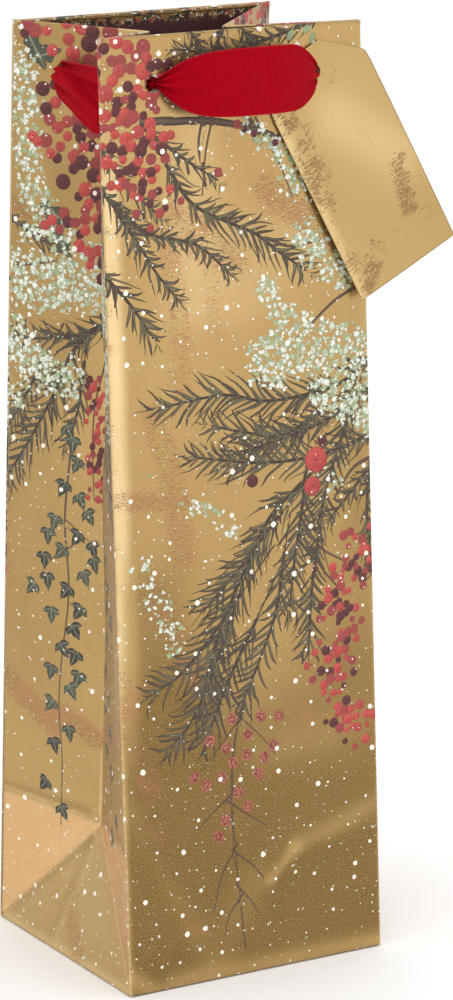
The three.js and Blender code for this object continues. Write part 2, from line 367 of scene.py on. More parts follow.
def read_sheet(piece: Piece) -> Array:
    """Sheet coordinates of a piece's points."""
    values = np.zeros(len(piece.data.vertices) * 3, np.float32)
    piece.data.attributes["sheet"].data.foreach_get("vector", values)
    return values.reshape(-1, 3)[:, :2].astype(float)


# ---------------------------------------------------------------------------
# Printed design and the foil's painted highlights and shade, as numbers on the sheet that the foil material
# draws from


def through(points: tuple, count: int = 48) -> Array:
    """Smooth path through points: each stretch is the cubic whose slopes join the neighbouring points."""
    knots = np.array(points, float)
    padded = np.vstack([2 * knots[0] - knots[1], knots, 2 * knots[-1] - knots[-2]])
    place = np.linspace(0, len(knots) - 1, count)
    i = np.minimum(place.astype(int), len(knots) - 2)
    x = (place - i)[:, None]
    p0, p1, p2, p3 = (padded[i + n] for n in range(4))
    return 0.5 * (2 * p1 + (p2 - p0) * x + (2 * p0 - 5 * p1 + 4 * p2 - p3) * x**2
                  + (3 * p1 - p0 - 3 * p2 + p3) * x**3)


class PrintedFields:
    """Numbers for each point of a sheet that say which drawn motif covers it and where in the motif it is."""

    LAYERS = ("pine_a", "pine_b", "pine_c", "pine_d", "twig", "berry", "leaf")

    def __init__(self, s: Array, t: Array, seed: int) -> None:
        """Starts with nothing drawn.

        Args:
            s: distance across the sheet of each point.
            t: height up the sheet of each point.
            seed: seed of the random draws.
        """
        self.s, self.t = s, t
        self.rng = np.random.default_rng(seed)
        self.taken: list = []
        self.values = {name: np.zeros((len(s), 3)) for name in self.LAYERS}
        # Masks: blossom, wear, tone (each leaf's tone, and the painted salmon sheen of a gusset triangle),
        # painted highlight and shade, and creases (worn folds and a painted crease highlight).
        self.masks = {name: np.zeros(len(s)) for name in ("bloom", "wear", "tone", "painted_light_and_shade", "crease")}

    def near(self, path: Array, reach: float) -> Array:
        """Indices of the points in the box round a path, widened by reach."""
        low, high = path.min(axis=0) - reach, path.max(axis=0) + reach
        inside = (self.s > low[0]) & (self.s < high[0]) & (self.t > low[1]) & (self.t < high[1])
        return np.flatnonzero(inside)

    def beside(self, path: Array, index: Array) -> tuple:
        """Distance along a path, signed distance beside it, and the path's length, for some points."""
        place = np.column_stack([self.s[index], self.t[index]])
        start, step = path[:-1], np.diff(path, axis=0)
        lengths = np.linalg.norm(step, axis=1)
        offset = place[:, None, :] - start[None]
        share = np.einsum("ijk,jk->ij", offset, step) / lengths**2
        last = np.arange(len(lengths)) == len(lengths) - 1
        held = np.clip(share, 0, np.where(last, np.inf, 1))
        gap = offset - held[..., None] * step[None]
        nearest = np.argmin((gap**2).sum(axis=2), axis=1)
        row = np.arange(len(index))
        along = np.concatenate([[0], np.cumsum(lengths)])[nearest] + held[row, nearest] * lengths[nearest]
        across = (step[nearest, 0] * offset[row, nearest, 1] - step[nearest, 1] * offset[row, nearest, 0])
        return along, across / lengths[nearest], lengths.sum()

    def branch(self, layer: str, points: tuple, reach: float, slant: float = 0.62, fan: float = 5.0) -> None:
        """Needled branch: points get the stem distance that their needle grows from and their share along it.

        A needle leaves the stem at the slant angle, so it grows from the distance along less the distance
        beside times the cotangent; past the tip the needles fan out to straight ahead.
        """
        path = through(points)
        index = self.near(path, reach)
        along, across, length = self.beside(path, index)
        aside = np.abs(across)
        root = along - aside / math.tan(slant)
        far = aside / math.sin(slant)
        ahead = along - (length - fan * 0.6)
        angle = np.arctan2(aside, ahead)
        in_fan = (ahead > 0) & (angle < slant)
        root = np.where(in_fan, length - fan * 0.6 + fan * (1 - angle / slant), root)
        far = np.where(in_fan, np.hypot(aside, ahead), far)
        share = np.clip(root / (length + fan), 0, 1)
        limit = reach * (0.62 + 0.38 * np.sin(math.pi * np.clip(share * 0.9 + 0.1, 0, 1)))
        covers = (root > -1.0) & (far < 1.05 * limit)
        self.twig(points, 1.5)
        index, values = index[covers], np.column_stack([root, np.sign(across) * far / limit,
                                                        np.ones(len(root))])
        self.values[layer][index] = values[covers]

    def twig(self, points: tuple, width: float) -> None:
        """Thin stem that tapers: points get their distance along, and beside it in half-widths."""
        path = through(points)
        index = self.near(path, 2.5)
        along, across, length = self.beside(path, index)
        half = width / 2 * (1.1 - 0.55 * np.clip(along / length, 0, 1))
        covers = (np.abs(across) < 2.0) & (along <= length)
        held = self.values["twig"][index]
        covers &= (np.abs(across) < 1.15 * half) | (np.abs(held[:, 1]) > 1.15) | (held[:, 2] == 0)
        values = np.column_stack([along, across / half, np.ones(len(along))])
        self.values["twig"][index[covers]] = values[covers]

    def berry(self, centre: tuple, radius: float, tone: float) -> None:
        """Round berry: points get two less their distance in radii, their place to the light and the tone."""
        index = self.near(np.array([centre]), radius * 1.6)
        offset = np.column_stack([self.s[index] - centre[0], self.t[index] - centre[1]]) / radius
        depth = np.clip(2 - np.linalg.norm(offset, axis=1), 0, 2)
        wins = (depth > 1) | (depth > self.values["berry"][index, 2])
        light = offset @ np.array([-0.5, 0.86])
        values = np.column_stack([np.full(len(index), tone), light, depth])
        self.values["berry"][index[wins]] = values[wins]

    def cluster(self, points: tuple, spread: float, count: int, radii: tuple, dark: float) -> None:
        """Berries scattered round a path where there is room for them; dark is the share of dark ones."""
        path = through(points, count)
        places = path + self.rng.normal(0, spread, (count, 2))
        sizes = self.rng.uniform(*radii, count)
        tones = np.where(self.rng.random(count) < dark, 0.0,
                         self.rng.choice([0.5, 0.65, 0.8, 1.0, 1.0], count))
        for place, size, tone in zip(places, sizes, tones):
            if all(math.dist(place, other) > 0.64 * (size + reach) for other, reach in self.taken):
                self.taken.append((place, size))
                self.berry(tuple(place), size, tone)

    def leaf(self, base: tuple, angle: float, length: float, width: float, lobes: float, tone: float) -> None:
        """Leaf on a straight rib: its half-width is a sine of the share along, deepened by lobes.

        Args:
            base: where the leaf joins its stem.
            angle: direction of the rib in degrees.
            length: length of the rib.
            width: width across.
            lobes: 0 for a smooth edge, up to 1 for deep points.
            tone: 0 for the darkest green to 1 for the palest.
        """
        turn = math.radians(angle)
        index = self.near(np.array([base]), length * 1.2)
        ds, dt = self.s[index] - base[0], self.t[index] - base[1]
        along = (ds * math.cos(turn) + dt * math.sin(turn)) / length
        beside = (-ds * math.sin(turn) + dt * math.cos(turn)) / (width / 2)
        held = np.clip(along, 0, 1)
        body = np.sin(math.pi * held**0.8)
        points = 0.5 + 0.5 * np.cos(2 * math.pi * (2.5 * held + 0.1))
        half = body * (1 - lobes * 0.62 * points) + 0.02
        depth = np.clip(2 - np.abs(beside) / half - 3 * np.abs(along - held), 0, 2)
        wins = depth > np.maximum(self.values["leaf"][index, 2], 0.6)
        values = np.column_stack([np.clip(beside / half, -1.5, 1.5), along, depth])
        self.values["leaf"][index[wins]] = values[wins]
        self.masks["tone"][index[wins]] = tone

    def patch(self, kind: str, points: tuple, radius: float, strength: float = 1.0) -> None:
        """Soft patch along a path for the blossom or the wear mask: full at the path, none at the radius."""
        path = through(points, 24) if len(points) > 1 else np.array(points, float)
        index = self.near(path, radius)
        place = np.column_stack([self.s[index], self.t[index]])
        gap = np.sqrt(((place[:, None] - path[None]) ** 2).sum(axis=2)).min(axis=1)
        value = strength * smooth(radius, radius * 0.25, gap)
        self.masks[kind][index] = np.maximum(self.masks[kind][index], value)

    def save(self, piece: Piece) -> None:
        """Stores every field on a piece."""
        for name, values in self.values.items():
            store(piece, name, values)
        for name, values in self.masks.items():
            store(piece, name, values)


def draw_front(ink: PrintedFields) -> None:
    """Winter foliage of a wide panel: berries at the top left, pine from both edges and hanging sprays."""
    branches = (
        ("pine_a", ((26, 313), (36, 298), (50, 290), (63, 284), (72, 277), (85, 268)), 16),
        ("pine_b", ((18, 326), (34, 314), (48, 305)), 10),
        ("pine_b", ((-2, 322), (10, 306), (24, 293)), 10),
        ("pine_c", ((-2, 308), (14, 284), (21, 273), (30, 262)), 12),
        ("pine_a", ((-2, 276), (10, 262), (18, 250)), 15),
        ("pine_b", ((94, 362), (74, 356), (52, 352), (32, 354)), 11),
        ("pine_a", ((56, 366), (48, 352), (44, 338)), 9),
        ("pine_a", ((114, 233), (99, 224), (80, 221), (64, 221), (47, 225), (20, 223)), 20),
        ("pine_b", ((114, 203), (98, 199), (80, 197), (59, 198), (34, 203)), 18),
        ("pine_c", ((90, 214), (72, 207), (56, 210), (42, 214)), 15),
        ("pine_c", ((82, 190), (80, 176), (77, 160), (74, 140)), 18),
        ("pine_a", ((78, 186), (66, 176), (56, 160), (44, 138), (34, 112)), 21),
        ("pine_b", ((52, 148), (38, 133), (26, 122), (14, 116)), 18),
        ("pine_c", ((48, 140), (40, 122), (30, 104), (20, 94)), 19),
        ("pine_b", ((72, 160), (68, 140), (60, 122), (52, 106)), 17),
        ("pine_b", ((114, 192), (103, 182), (92, 172)), 11),
        ("pine_d", ((58, 364), (66, 352), (74, 338)), 12), ("pine_d", ((36, 364), (44, 352), (50, 336)), 11),
        ("pine_d", ((114, 222), (96, 212), (74, 206), (50, 202)), 20),
        ("pine_d", ((104, 214), (94, 192), (86, 168)), 20),
        ("pine_d", ((70, 176), (54, 160), (38, 146)), 19), ("pine_d", ((88, 168), (84, 146), (82, 124)), 17),
        ("pine_d", ((58, 136), (46, 116), (36, 96)), 20),
        ("pine_d", ((112, 190), (110, 172), (112, 150)), 11),
        ("pine_d", ((4, 300), (18, 288), (38, 282), (52, 270)), 11),
    )
    for layer, path, reach in branches:
        ink.branch(layer, path, reach)
    twigs = (
        (((60, 330), (68, 320), (74, 310), (80, 296)), 0.8),
        (((18, 329), (34, 328), (46, 327), (60, 324), (74, 319), (84, 313)), 3.2),
        (((43, 331), (40, 318), (43, 303)), 1.1), (((47, 330), (43, 316), (41, 300)), 0.9),
        (((62, 327), (67, 316)), 0.9), (((66, 325), (71, 315)), 0.8),
        (((116, 262), (98, 256), (80, 243)), 1.4),
        (((70, 281), (78, 278), (92, 279)), 1.2),
        (((80, 174), (88, 162), (99, 155)), 1.2),
        (((81, 166), (90, 152), (99, 142)), 1.1),
        (((113, 194), (103, 190), (94, 179)), 1.4),
        (((54, 112), (48, 92), (46, 72), (47, 50), (49, 30), (51, 9)), 1.0),
        (((46, 72), (38, 66), (31, 60)), 0.7), (((46, 68), (54, 62), (61, 57)), 0.7),
        (((47, 50), (41, 40), (37, 26)), 0.7), (((48, 48), (55, 42), (60, 36)), 0.7),
        (((49, 34), (54, 28), (58, 21)), 0.6), (((49, 30), (44, 24), (42, 16)), 0.6),
        (((50, 100), (40, 90), (30, 80)), 0.6), (((52, 100), (60, 92), (66, 84)), 0.6),
    )
    for path, width in twigs:
        ink.twig(path, width)
    ink.cluster(((4, 357), (13, 351), (22, 346)), 5.0, 90, (2.2, 3.5), 0.28)
    ink.cluster(((6, 345), (5, 330), (10, 316)), 5.0, 80, (1.8, 3.0), 0.3)
    ink.cluster(((14, 338), (19, 322), (20, 304)), 4.6, 90, (1.6, 2.8), 0.42)
    ink.cluster(((6, 322), (12, 306), (16, 296)), 4.6, 40, (1.4, 2.3), 0.45)
    ink.berry((57, 325), 1.9, 0.5)
    for centre in ((60, 323), (64, 321), (73, 317)):
        ink.berry(centre, 1.5, 0.0)
    ink.cluster(((103, 165), (106, 156), (108, 145)), 3.2, 50, (1.3, 2.3), 0.3)
    ink.cluster(((98, 152), (94, 140), (100, 128)), 4.2, 76, (1.2, 2.2), 0.34)
    ink.cluster(((96, 126), (92, 112), (98, 98), (104, 88)), 4.4, 90, (1.2, 2.2), 0.32)
    ink.berry((87, 196), 5.2, 0.9)
    ink.berry((85, 186), 3.9, 0.8)
    ink.berry((90, 203), 2.2, 0.0)
    ink.berry((59, 191), 2.6, 0.0)
    ink.berry((48, 308), 2.0, 0.6)
    hips = ((60, 100), (68, 99), (54, 94), (44, 90), (47, 84), (53, 86), (61, 84), (65, 88), (58, 78),
            (42, 79),
            (35, 77), (30, 81), (49, 72), (53, 66), (43, 62), (40, 56), (47, 101), (37, 94))
    for centre in hips:
        ink.berry(centre, 2.5, 2.0)
    for base, angle in (((80, 354), 60), ((86, 357), 20), ((84, 350), -35), ((90, 352), 75), ((88, 346), 10),
                        ((64, 322), -80), ((70, 318), -60), ((74, 314), -95), ((78, 312), -40),
                        ((80, 306), -80)):
        ink.leaf(base, angle, 5.5, 2.8, 0.0, 0.85)
    blooms = (
        (((62, 324), (72, 316), (80, 304), (84, 296)), 7.5, 0.55),
        (((84, 282), (94, 272), (102, 264)), 10, 0.75),
        (((68, 262), (76, 252), (84, 246)), 9, 0.7),
        (((68, 236), (84, 240), (98, 236), (112, 232)), 16, 0.95),
        (((92, 222), (104, 216), (112, 210)), 13, 0.9),
        (((31, 188), (42, 180), (50, 172)), 7, 0.45),
        (((10, 164), (16, 150), (24, 134)), 9, 0.5),
        (((88, 192), (96, 186)), 8, 0.4),
    )
    for path, radius, strength in blooms:
        ink.patch("bloom", path, radius, strength)
    worn = (
        (((23, 294), (38, 286), (53, 276)), 14, 0.7), (((26, 281), (30, 250), (28, 221)), 9, 0.6),
        (((69, 300), (80, 292), (94, 282)), 12, 0.8), (((18, 220), (24, 195), (28, 167)), 11, 0.75),
        (((3, 190), (16, 188), (30, 186)), 7, 0.8), (((14, 155), (24, 138), (33, 119)), 11, 0.7),
        (((2, 120), (8, 90), (14, 60)), 11, 0.6), (((44, 280), (44, 250)), 7, 0.5),
        (((70, 110), (84, 96), (100, 84)), 10, 0.45), (((2, 350), (0, 180), (2, 10)), 4, 0.55),
        (((10, 20), (50, 14), (104, 20)), 14, 0.4), (((20, 70), (60, 60), (96, 66)), 16, 0.35),
    )
    for path, radius, strength in worn:
        ink.patch("wear", path, radius, strength)


def draw_side(ink: PrintedFields) -> None:
    """Winter foliage of a gusset: holly and blossom above, pine in the middle and a hanging ivy vine."""
    branches = (
        ("pine_a", ((-66, 246), (-76, 236), (-82, 222), (-92, 202), (-106, 182)), 19),
        ("pine_b", ((-56, 252), (-72, 244), (-90, 240), (-108, 238)), 14),
        ("pine_c", ((-106, 286), (-96, 280), (-86, 276)), 10),
        ("pine_c", ((-88, 232), (-98, 214), (-107, 200)), 16),
        ("pine_b", ((-70, 232), (-72, 214), (-76, 200)), 13),
        ("pine_a", ((-20, 360), (-28, 340), (-36, 318)), 13),
        ("pine_b", ((-4, 310), (-16, 290), (-28, 274)), 14),
    )
    for layer, path, reach in branches:
        ink.branch(layer, path, reach)
    twigs = (
        (((-106, 267), (-96, 268), (-84, 271)), 1.3), (((-88, 243), (-74, 242), (-60, 248)), 1.6),
        (((-105, 284), (-96, 281), (-86, 277)), 1.4), (((-60, 234), (-64, 214), (-62, 180)), 0.8),
        (((-74, 200), (-76, 170), (-73, 140), (-76, 100), (-74, 74), (-75, 46)), 0.8),
        (((-74, 170), (-68, 166), (-63, 164)), 0.5), (((-74, 160), (-82, 154), (-88, 146)), 0.5),
    )
    for path, width in twigs:
        ink.twig(path, width)
    ink.cluster(((-102, 357), (-92, 355), (-84, 350)), 3.0, 7, (2.0, 3.0), 0.2)
    ink.cluster(((-84, 358), (-72, 350), (-62, 342)), 4.4, 50, (2.3, 3.7), 0.3)
    ink.cluster(((-90, 328), (-80, 316), (-70, 300)), 5.0, 80, (2.0, 3.3), 0.5)
    ink.cluster(((-70, 320), (-66, 300), (-62, 280)), 4.6, 80, (2.0, 3.3), 0.45)
    ink.cluster(((-82, 290), (-74, 282), (-66, 270)), 3.6, 30, (1.8, 2.8), 0.3)
    ink.cluster(((-66, 226), (-62, 212), (-62, 196), (-60, 180)), 2.6, 80, (1.1, 1.9), 0.34)
    holly = (((-100, 356), -60, 16, 9), ((-98, 346), 20, 13, 8), ((-92, 292), -30, 14, 8),
             ((-90, 284), 30, 12, 7),
             ((-86, 282), -50, 13, 8))
    for base, angle, length, width in holly:
        ink.leaf(base, angle, length, width, 0.75, 0.12)
    ivy = ((-84, 166), (-70, 182), (-76, 160), (-62, 158), (-84, 148), (-73, 145), (-76, 122), (-66, 112),
           (-80, 172), (-66, 176), (-69, 167), (-86, 156), (-63, 164), (-90, 143), (-67, 152), (-81, 135),
           (-67, 138), (-71, 130), (-68, 120), (-80, 112), (-71, 106), (-79, 98), (-71, 89), (-79, 82),
           (-82, 64), (-75, 55), (-73, 204), (-70, 196), (-77, 208), (-76, 186))
    for number, centre in enumerate(ivy):
        heading = -90 + 38 * math.sin(2.3 * number)
        for turn, share in ((0, 1.0), (62, 0.72), (-62, 0.72)):
            ink.leaf(centre, heading + turn, 7.0 * share, 4.2 * share, 0.25, 0.06 + 0.06 * math.sin(number))
    blooms = (
        (((-102, 344), (-98, 320), (-96, 300), (-90, 288)), 10, 0.75),
        (((-104, 262), (-88, 262), (-70, 266), (-58, 262)), 18, 0.95),
        (((-96, 280), (-84, 282), (-72, 276)), 8, 0.6),
        (((-104, 240), (-92, 230), (-78, 226)), 13, 0.85), (((-102, 214), (-92, 222)), 8, 0.6),
        (((-30, 300), (-20, 270)), 12, 0.7), (((-56, 330), (-48, 300)), 8, 0.5),
    )
    for path, radius, strength in blooms:
        ink.patch("bloom", path, radius, strength)
    worn = (
        (((-106, 290), (-96, 288), (-88, 286)), 7, 0.9), (((-104, 102), (-92, 94), (-80, 88)), 10, 0.85),
        (((-76, 94), (-64, 90), (-56, 86)), 8, 0.85), (((-60, 24), (-52, 10), (-44, 4)), 8, 0.7),
        (((-104, 180), (-104, 140)), 6, 0.5), (((-106, 350), (-106, 10)), 3, 0.5),
        (((-30, 200), (-24, 120)), 12, 0.5), (((-90, 30), (-70, 18)), 14, 0.35),
    )
    for path, radius, strength in worn:
        ink.patch("wear", path, radius, strength)


def near_line(s: Array, t: Array, start: tuple, end: tuple, width: float) -> Array:
    """Bell-shaped share of nearness to a straight line on the sheet."""
    path = np.array([start, end], float)
    step = path[1] - path[0]
    share = np.clip(((s - start[0]) * step[0] + (t - start[1]) * step[1]) / (step @ step), 0, 1)
    gap = np.hypot(s - start[0] - share * step[0], t - start[1] - share * step[1])
    return np.exp(-((gap / width) ** 2))


# Painted highlight (above 0) and painted shade streaks of the foil: strength, start and end on the sheet,
# width.
FRONT_PAINTED_LIGHT = (
    (0.75, (63, 35), (73, 46), 3), (0.5, (76, 47), (113, 58), 5), (0.3, (36, 10), (56, 34), 9),
    (-0.35, (72, 36), (84, 42), 4), (0.9, (0, 8), (10, 0), 4), (1.1, (20, 0), (113, 0), 6),
    (0.3, (4, 70), (30, 20), 6), (0.25, (60, 84), (100, 92), 8), (-0.5, (70, 30), (113, 36), 8),
    (0.4, (34, 262), (40, 330), 16), (0.3, (60, 262), (90, 300), 20))
# The gusset's streaks: painted highlights along the bottom edge and a fold, painted shade beside the creases.
GUSSET_PAINTED_LIGHT = (
    (0.5, (-102, 1), (-4, 1), 3), (0.3, (-53, 48), (-62, 6), 2), (-0.3, (-56, 46), (-66, 6), 3),
    (-0.35, (-96, 7), (-58, 45), 2.5), (1.2, (-7, 42), (-8, 66), 3), (-0.45, (-104, 57), (-60, 57), 2))


def strokes(s: Array, t: Array, rows: tuple) -> Array:
    """Sum of soft painted highlight and shade streaks: each is its strength times a bell across its line."""
    total = np.zeros(np.shape(s))
    for strength, start, end, width in rows:
        total += strength * near_line(s, t, start, end, width)
    return total


def paint_foil_light_and_creases(ink: PrintedFields) -> None:
    """Painted highlights and shade of the foil, a painted salmon sheen on each rear lower triangle, and the
    worn creases with a painted highlight line by the level crease.
    """
    s, t = ink.s, ink.t
    painted_light_and_shade = ink.masks["painted_light_and_shade"]
    # Painted highlight: a pale band down the front panel's left edge.
    painted_light_and_shade += 0.95 * smooth(10, 3, s) * smooth(-1, 1, s) * smooth(60, 150, t) * smooth(345, 290, t)
    # Painted shade: the front panel darker towards the bottom and in two long patches.
    painted_light_and_shade -= 1.0 * smooth(150, 60, t) * smooth(-1, 3, s)
    painted_light_and_shade -= smooth(0, 4, s) * (0.7 * near_line(s, t, (14, 150), (30, 60), 18)
                               + 0.35 * near_line(s, t, (112, 210), (100, 120), 22))
    # Painted highlights along the low ridges and the bottom edge, painted shade beside them.
    painted_light_and_shade += strokes(s, t, FRONT_PAINTED_LIGHT)
    rear = smooth(-53, -54, s)
    below = smooth(SHEET.half + 0.4, SHEET.half - 0.4, t)
    in_corner = rear * below * smooth(-0.3, 0.5, t - (s + SHEET.depth))
    # Painted highlight on the rear leaf's lower triangle, which also gets a painted salmon sheen through the
    # tone numbers where no leaf is drawn.
    painted_light_and_shade += 0.7 * in_corner
    bare = ink.values["leaf"][:, 2] < 0.9
    ink.masks["tone"] = np.where(bare, np.clip(in_corner, 0, 1), ink.masks["tone"])
    # Painted highlight: a thin line by the centre crease above the junction; then painted shade lower on the
    # rear leaf and a painted highlight high on it.
    painted_light_and_shade += 0.55 * smooth(-56, -54, s) * smooth(-52.5, -53.5, s) * smooth(50, 60, t) * smooth(100, 70, t)
    painted_light_and_shade -= 0.35 * rear * (1 - below) * smooth(-62, -80, s) * smooth(60, 200, t)
    painted_light_and_shade += 0.5 * rear * smooth(300, 345, t) * smooth(-104, -60, s)
    # Painted highlights and shade of the gusset's bottom edge, folds and creases.
    side = smooth(0, -1, s)
    painted_light_and_shade += side * strokes(s, t, GUSSET_PAINTED_LIGHT)
    # Pale worn lines along every fold, and a painted highlight line just above the level crease.
    crease = ink.masks["crease"]
    crease += 0.8 * near_line(s, t, (-106, 55.4), (-62, 54.2), 0.45)
    for start, end in (((-106, 53), (-53, 53)), ((-106, 0), (-53, 53)), ((0, 0), (-53, 53)),
                       ((-53, 53), (-53, 360)),
                       ((0, 0), (0, 360)), ((112, 0), (112, 360)), ((-106, 0), (-106, 360))):
        crease[:] = np.maximum(crease, near_line(s, t, start, end, 0.55))


def dress_with_print(piece: Piece, seed: int, mirror: bool = False) -> None:
    """Draws the whole design and the foil's painted highlights and shade on a piece of the sheet from its own
    sheet coordinates.

    Args:
        piece: piece with sheet coordinates.
        seed: seed of the random draws.
        mirror: draws the rear half's design on the front half of a gusset.
    """
    flat = read_sheet(piece)
    across = -SHEET.depth - flat[:, 0] if mirror else flat[:, 0]
    ink = PrintedFields(across, flat[:, 1], seed)
    draw_side(ink)
    draw_front(ink)
    paint_foil_light_and_creases(ink)
    ink.save(piece)


# ---------------------------------------------------------------------------
# Finishes


def colour(code: str) -> tuple:
    """Linear colour with full alpha from a six-digit screen colour."""
    parts = [int(code[i:i + 2], 16) / 255 for i in (0, 2, 4)]
    return tuple(p / 12.92 if p <= 0.04045 else ((p + 0.055) / 1.055) ** 2.4 for p in parts) + (1.0,)


class Nodes:
    """Short ways to add nodes to one tree and join them."""

    def __init__(self, tree: bpy.types.NodeTree) -> None:
        """Takes the tree to add to."""
        self.tree = tree

    def add(self, kind: str, values: dict | None = None, **settings) -> bpy.types.Node:
        """Adds a node; settings are its properties and values its input sockets by name or number."""
        node = self.tree.nodes.new(kind)
        for key, value in settings.items():
            setattr(node, key, value)
        for key, value in (values or {}).items():
            self.put(node.inputs[key], value)
        return node

    def put(self, socket: Socket, value: Value) -> None:
        """Joins a socket to the socket given, or sets its plain value."""
        if isinstance(value, Socket):
            self.tree.links.new(value, socket)
        else:
            socket.default_value = value

    def math(self, operation: str, *values, clamp: bool = False) -> Socket:
        """Result of one sum."""
        node = self.add("ShaderNodeMath", operation=operation, use_clamp=clamp)
        for socket, value in zip(node.inputs, values):
            self.put(socket, value)
        return node.outputs[0]

    def plus(self, first: Value, second: Value, clamp: bool = False) -> Socket:
        """Sum of two values."""
        return self.math("ADD", first, second, clamp=clamp)

    def times(self, first: Value, second: Value) -> Socket:
        """Product of two values."""
        return self.math("MULTIPLY", first, second)

    def step(self, value: Value, low: float, high: float) -> Socket:
        """Soft step of a value from 0 at low to 1 at high."""
        node = self.add("ShaderNodeMapRange", {"Value": value, "From Min": low, "From Max": high},
                        interpolation_type="SMOOTHSTEP")
        return node.outputs[0]

    def mix(self, share: Value, first: Value, second: Value, kind: str = "MIX") -> Socket:
        """Mix of two colours."""
        node = self.add("ShaderNodeMix", data_type="RGBA", blend_type=kind)
        self.put(node.inputs[0], share)
        self.put(node.inputs[6], first)
        self.put(node.inputs[7], second)
        return node.outputs[2]

    def attribute(self, name: str, output: str = "Vector") -> Socket:
        """A number or vector kept on the piece."""
        return self.add("ShaderNodeAttribute", attribute_name=name).outputs[output]

    def parts(self, vector: Value) -> tuple:
        """The three numbers of a vector."""
        return tuple(self.add("ShaderNodeSeparateXYZ", {0: vector}).outputs)

    def scaled(self, vector: Value, x: float, y: float, z: float = 1.0) -> Socket:
        """Vector with each part multiplied."""
        return self.add("ShaderNodeVectorMath", {0: vector, 1: (x, y, z)}, operation="MULTIPLY").outputs[0]

    def noise(self, vector: Value, scale: float, detail: float = 2.0, rough: float = 0.5,
              **more) -> bpy.types.Node:
        """Noise texture node."""
        return self.add("ShaderNodeTexNoise", {"Vector": vector, "Scale": scale, "Detail": detail,
                                               "Roughness": rough}, **more)


def group(name: str, inputs: dict, outputs: dict) -> tuple:
    """New shader node group.

    Args:
        name: name of the group.
        inputs: socket type by input name.
        outputs: socket type by output name.

    Returns:
        The group, its node helper, its input sockets and the node that takes its outputs.
    """
    tree = bpy.data.node_groups.new(name, "ShaderNodeTree")
    for label, kind in inputs.items():
        tree.interface.new_socket(label, in_out="INPUT", socket_type=kind)
    for label, kind in outputs.items():
        tree.interface.new_socket(label, in_out="OUTPUT", socket_type=kind)
    nodes = Nodes(tree)
    start, end = nodes.add("NodeGroupInput"), nodes.add("NodeGroupOutput")
    return tree, nodes, start.outputs, end


FLOAT, VECTOR, COLOUR = "NodeSocketFloat", "NodeSocketVector", "NodeSocketColor"


def needle_group() -> bpy.types.NodeTree:
    """Thin curved needles along a branch from the root distance, the share along the needle and the cover."""
    tree, n, given, end = group(
        "needles",
        {"Place": VECTOR, "Sheet": VECTOR, "Pitch": FLOAT, "Width": FLOAT, "Curl": FLOAT, "Seed": FLOAT},
        {"Mask": FLOAT, "Tone": FLOAT})
    root, share, cover = n.parts(given["Place"])
    side = n.math("GREATER_THAN", share, 0.0)
    far = n.math("ABSOLUTE", share)
    wander = n.noise(given["Sheet"], 0.07, 1.0).outputs[0]
    shift = n.times(n.math("SUBTRACT", wander, 0.5), n.times(far, 14.0))
    bend = n.times(given["Curl"], n.times(far, far))
    root = n.plus(n.plus(root, shift), n.plus(bend, n.times(side, 0.47)))
    turns = n.math("DIVIDE", root, given["Pitch"])
    number = n.math("FLOOR", turns)
    key = n.add("ShaderNodeCombineXYZ", {0: number, 1: side, 2: given["Seed"]}).outputs[0]
    white = n.add("ShaderNodeTexWhiteNoise", {"Vector": key}, noise_dimensions="3D")
    draw_a, draw_b, draw_c = n.add("ShaderNodeSeparateColor", {0: white.outputs["Color"]}).outputs
    length = n.math("MULTIPLY_ADD", draw_a, 0.5, 0.5)
    along = n.math("DIVIDE", far, length)
    left = n.math("MAXIMUM", n.math("SUBTRACT", 1.0, along), 0.0)
    half = n.times(n.math("POWER", left, 0.55), given["Width"])
    offset = n.math("SUBTRACT", n.math("SUBTRACT", turns, number), n.math("MULTIPLY_ADD", draw_b, 0.5, 0.25))
    gap = n.times(n.math("ABSOLUTE", offset), given["Pitch"])
    edge = n.math("SUBTRACT", half, n.times(gap, 0.6))
    body = n.step(edge, -0.05, 0.12)
    body = n.times(body, n.math("GREATER_THAN", left, 0.0))
    body = n.times(body, n.math("GREATER_THAN", draw_c, 0.2))
    stem = n.math("LESS_THAN", far, 0.03)
    shown = n.times(n.math("MAXIMUM", body, stem), n.math("GREATER_THAN", cover, 0.985))
    n.put(end.inputs["Mask"], shown)
    inside = n.step(edge, 0.12, 0.42)
    n.put(end.inputs["Tone"], n.times(inside, n.math("MULTIPLY_ADD", draw_b, 0.75, 0.3)))
    return tree


def dot_group() -> bpy.types.NodeTree:
    """Round dots, one in each cell of a scattered pattern, each with its own radius and shade."""
    tree, n, given, end = group("scattered_dots",
                                {"Sheet": VECTOR, "Cell": FLOAT, "Least": FLOAT, "Most": FLOAT,
                                 "Share": FLOAT, "Ragged": FLOAT},
                                {"Mask": FLOAT, "Tone": FLOAT, "Depth": FLOAT})
    scale = n.math("DIVIDE", 1.0, given["Cell"])
    stray = n.noise(given["Sheet"], 0.8, 2.0).outputs["Color"]
    stray = n.add("ShaderNodeVectorMath", {0: stray, 1: (0.5, 0.5, 0.5)}, operation="SUBTRACT").outputs[0]
    stray = n.add("ShaderNodeVectorMath", {0: stray, "Scale": given["Ragged"]}, operation="SCALE").outputs[0]
    moved = n.add("ShaderNodeVectorMath", {0: given["Sheet"], 1: stray}, operation="ADD").outputs[0]
    cells = n.add("ShaderNodeTexVoronoi", {"Vector": moved, "Scale": scale, "Randomness": 1.0},
                  voronoi_dimensions="2D")
    draw_a, draw_b, draw_c = n.add("ShaderNodeSeparateColor", {0: cells.outputs["Color"]}).outputs
    spread = n.math("SUBTRACT", given["Most"], given["Least"])
    radius = n.math("MULTIPLY_ADD", n.math("POWER", draw_a, 1.6), spread, given["Least"])
    gap = n.times(cells.outputs["Distance"], given["Cell"])
    depth = n.math("SUBTRACT", radius, gap)
    mask = n.times(n.step(depth, -0.06, 0.1), n.math("LESS_THAN", draw_b, given["Share"]))
    n.put(end.inputs["Mask"], mask)
    n.put(end.inputs["Tone"], draw_c)
    n.put(end.inputs["Depth"], n.math("DIVIDE", depth, radius))
    return tree


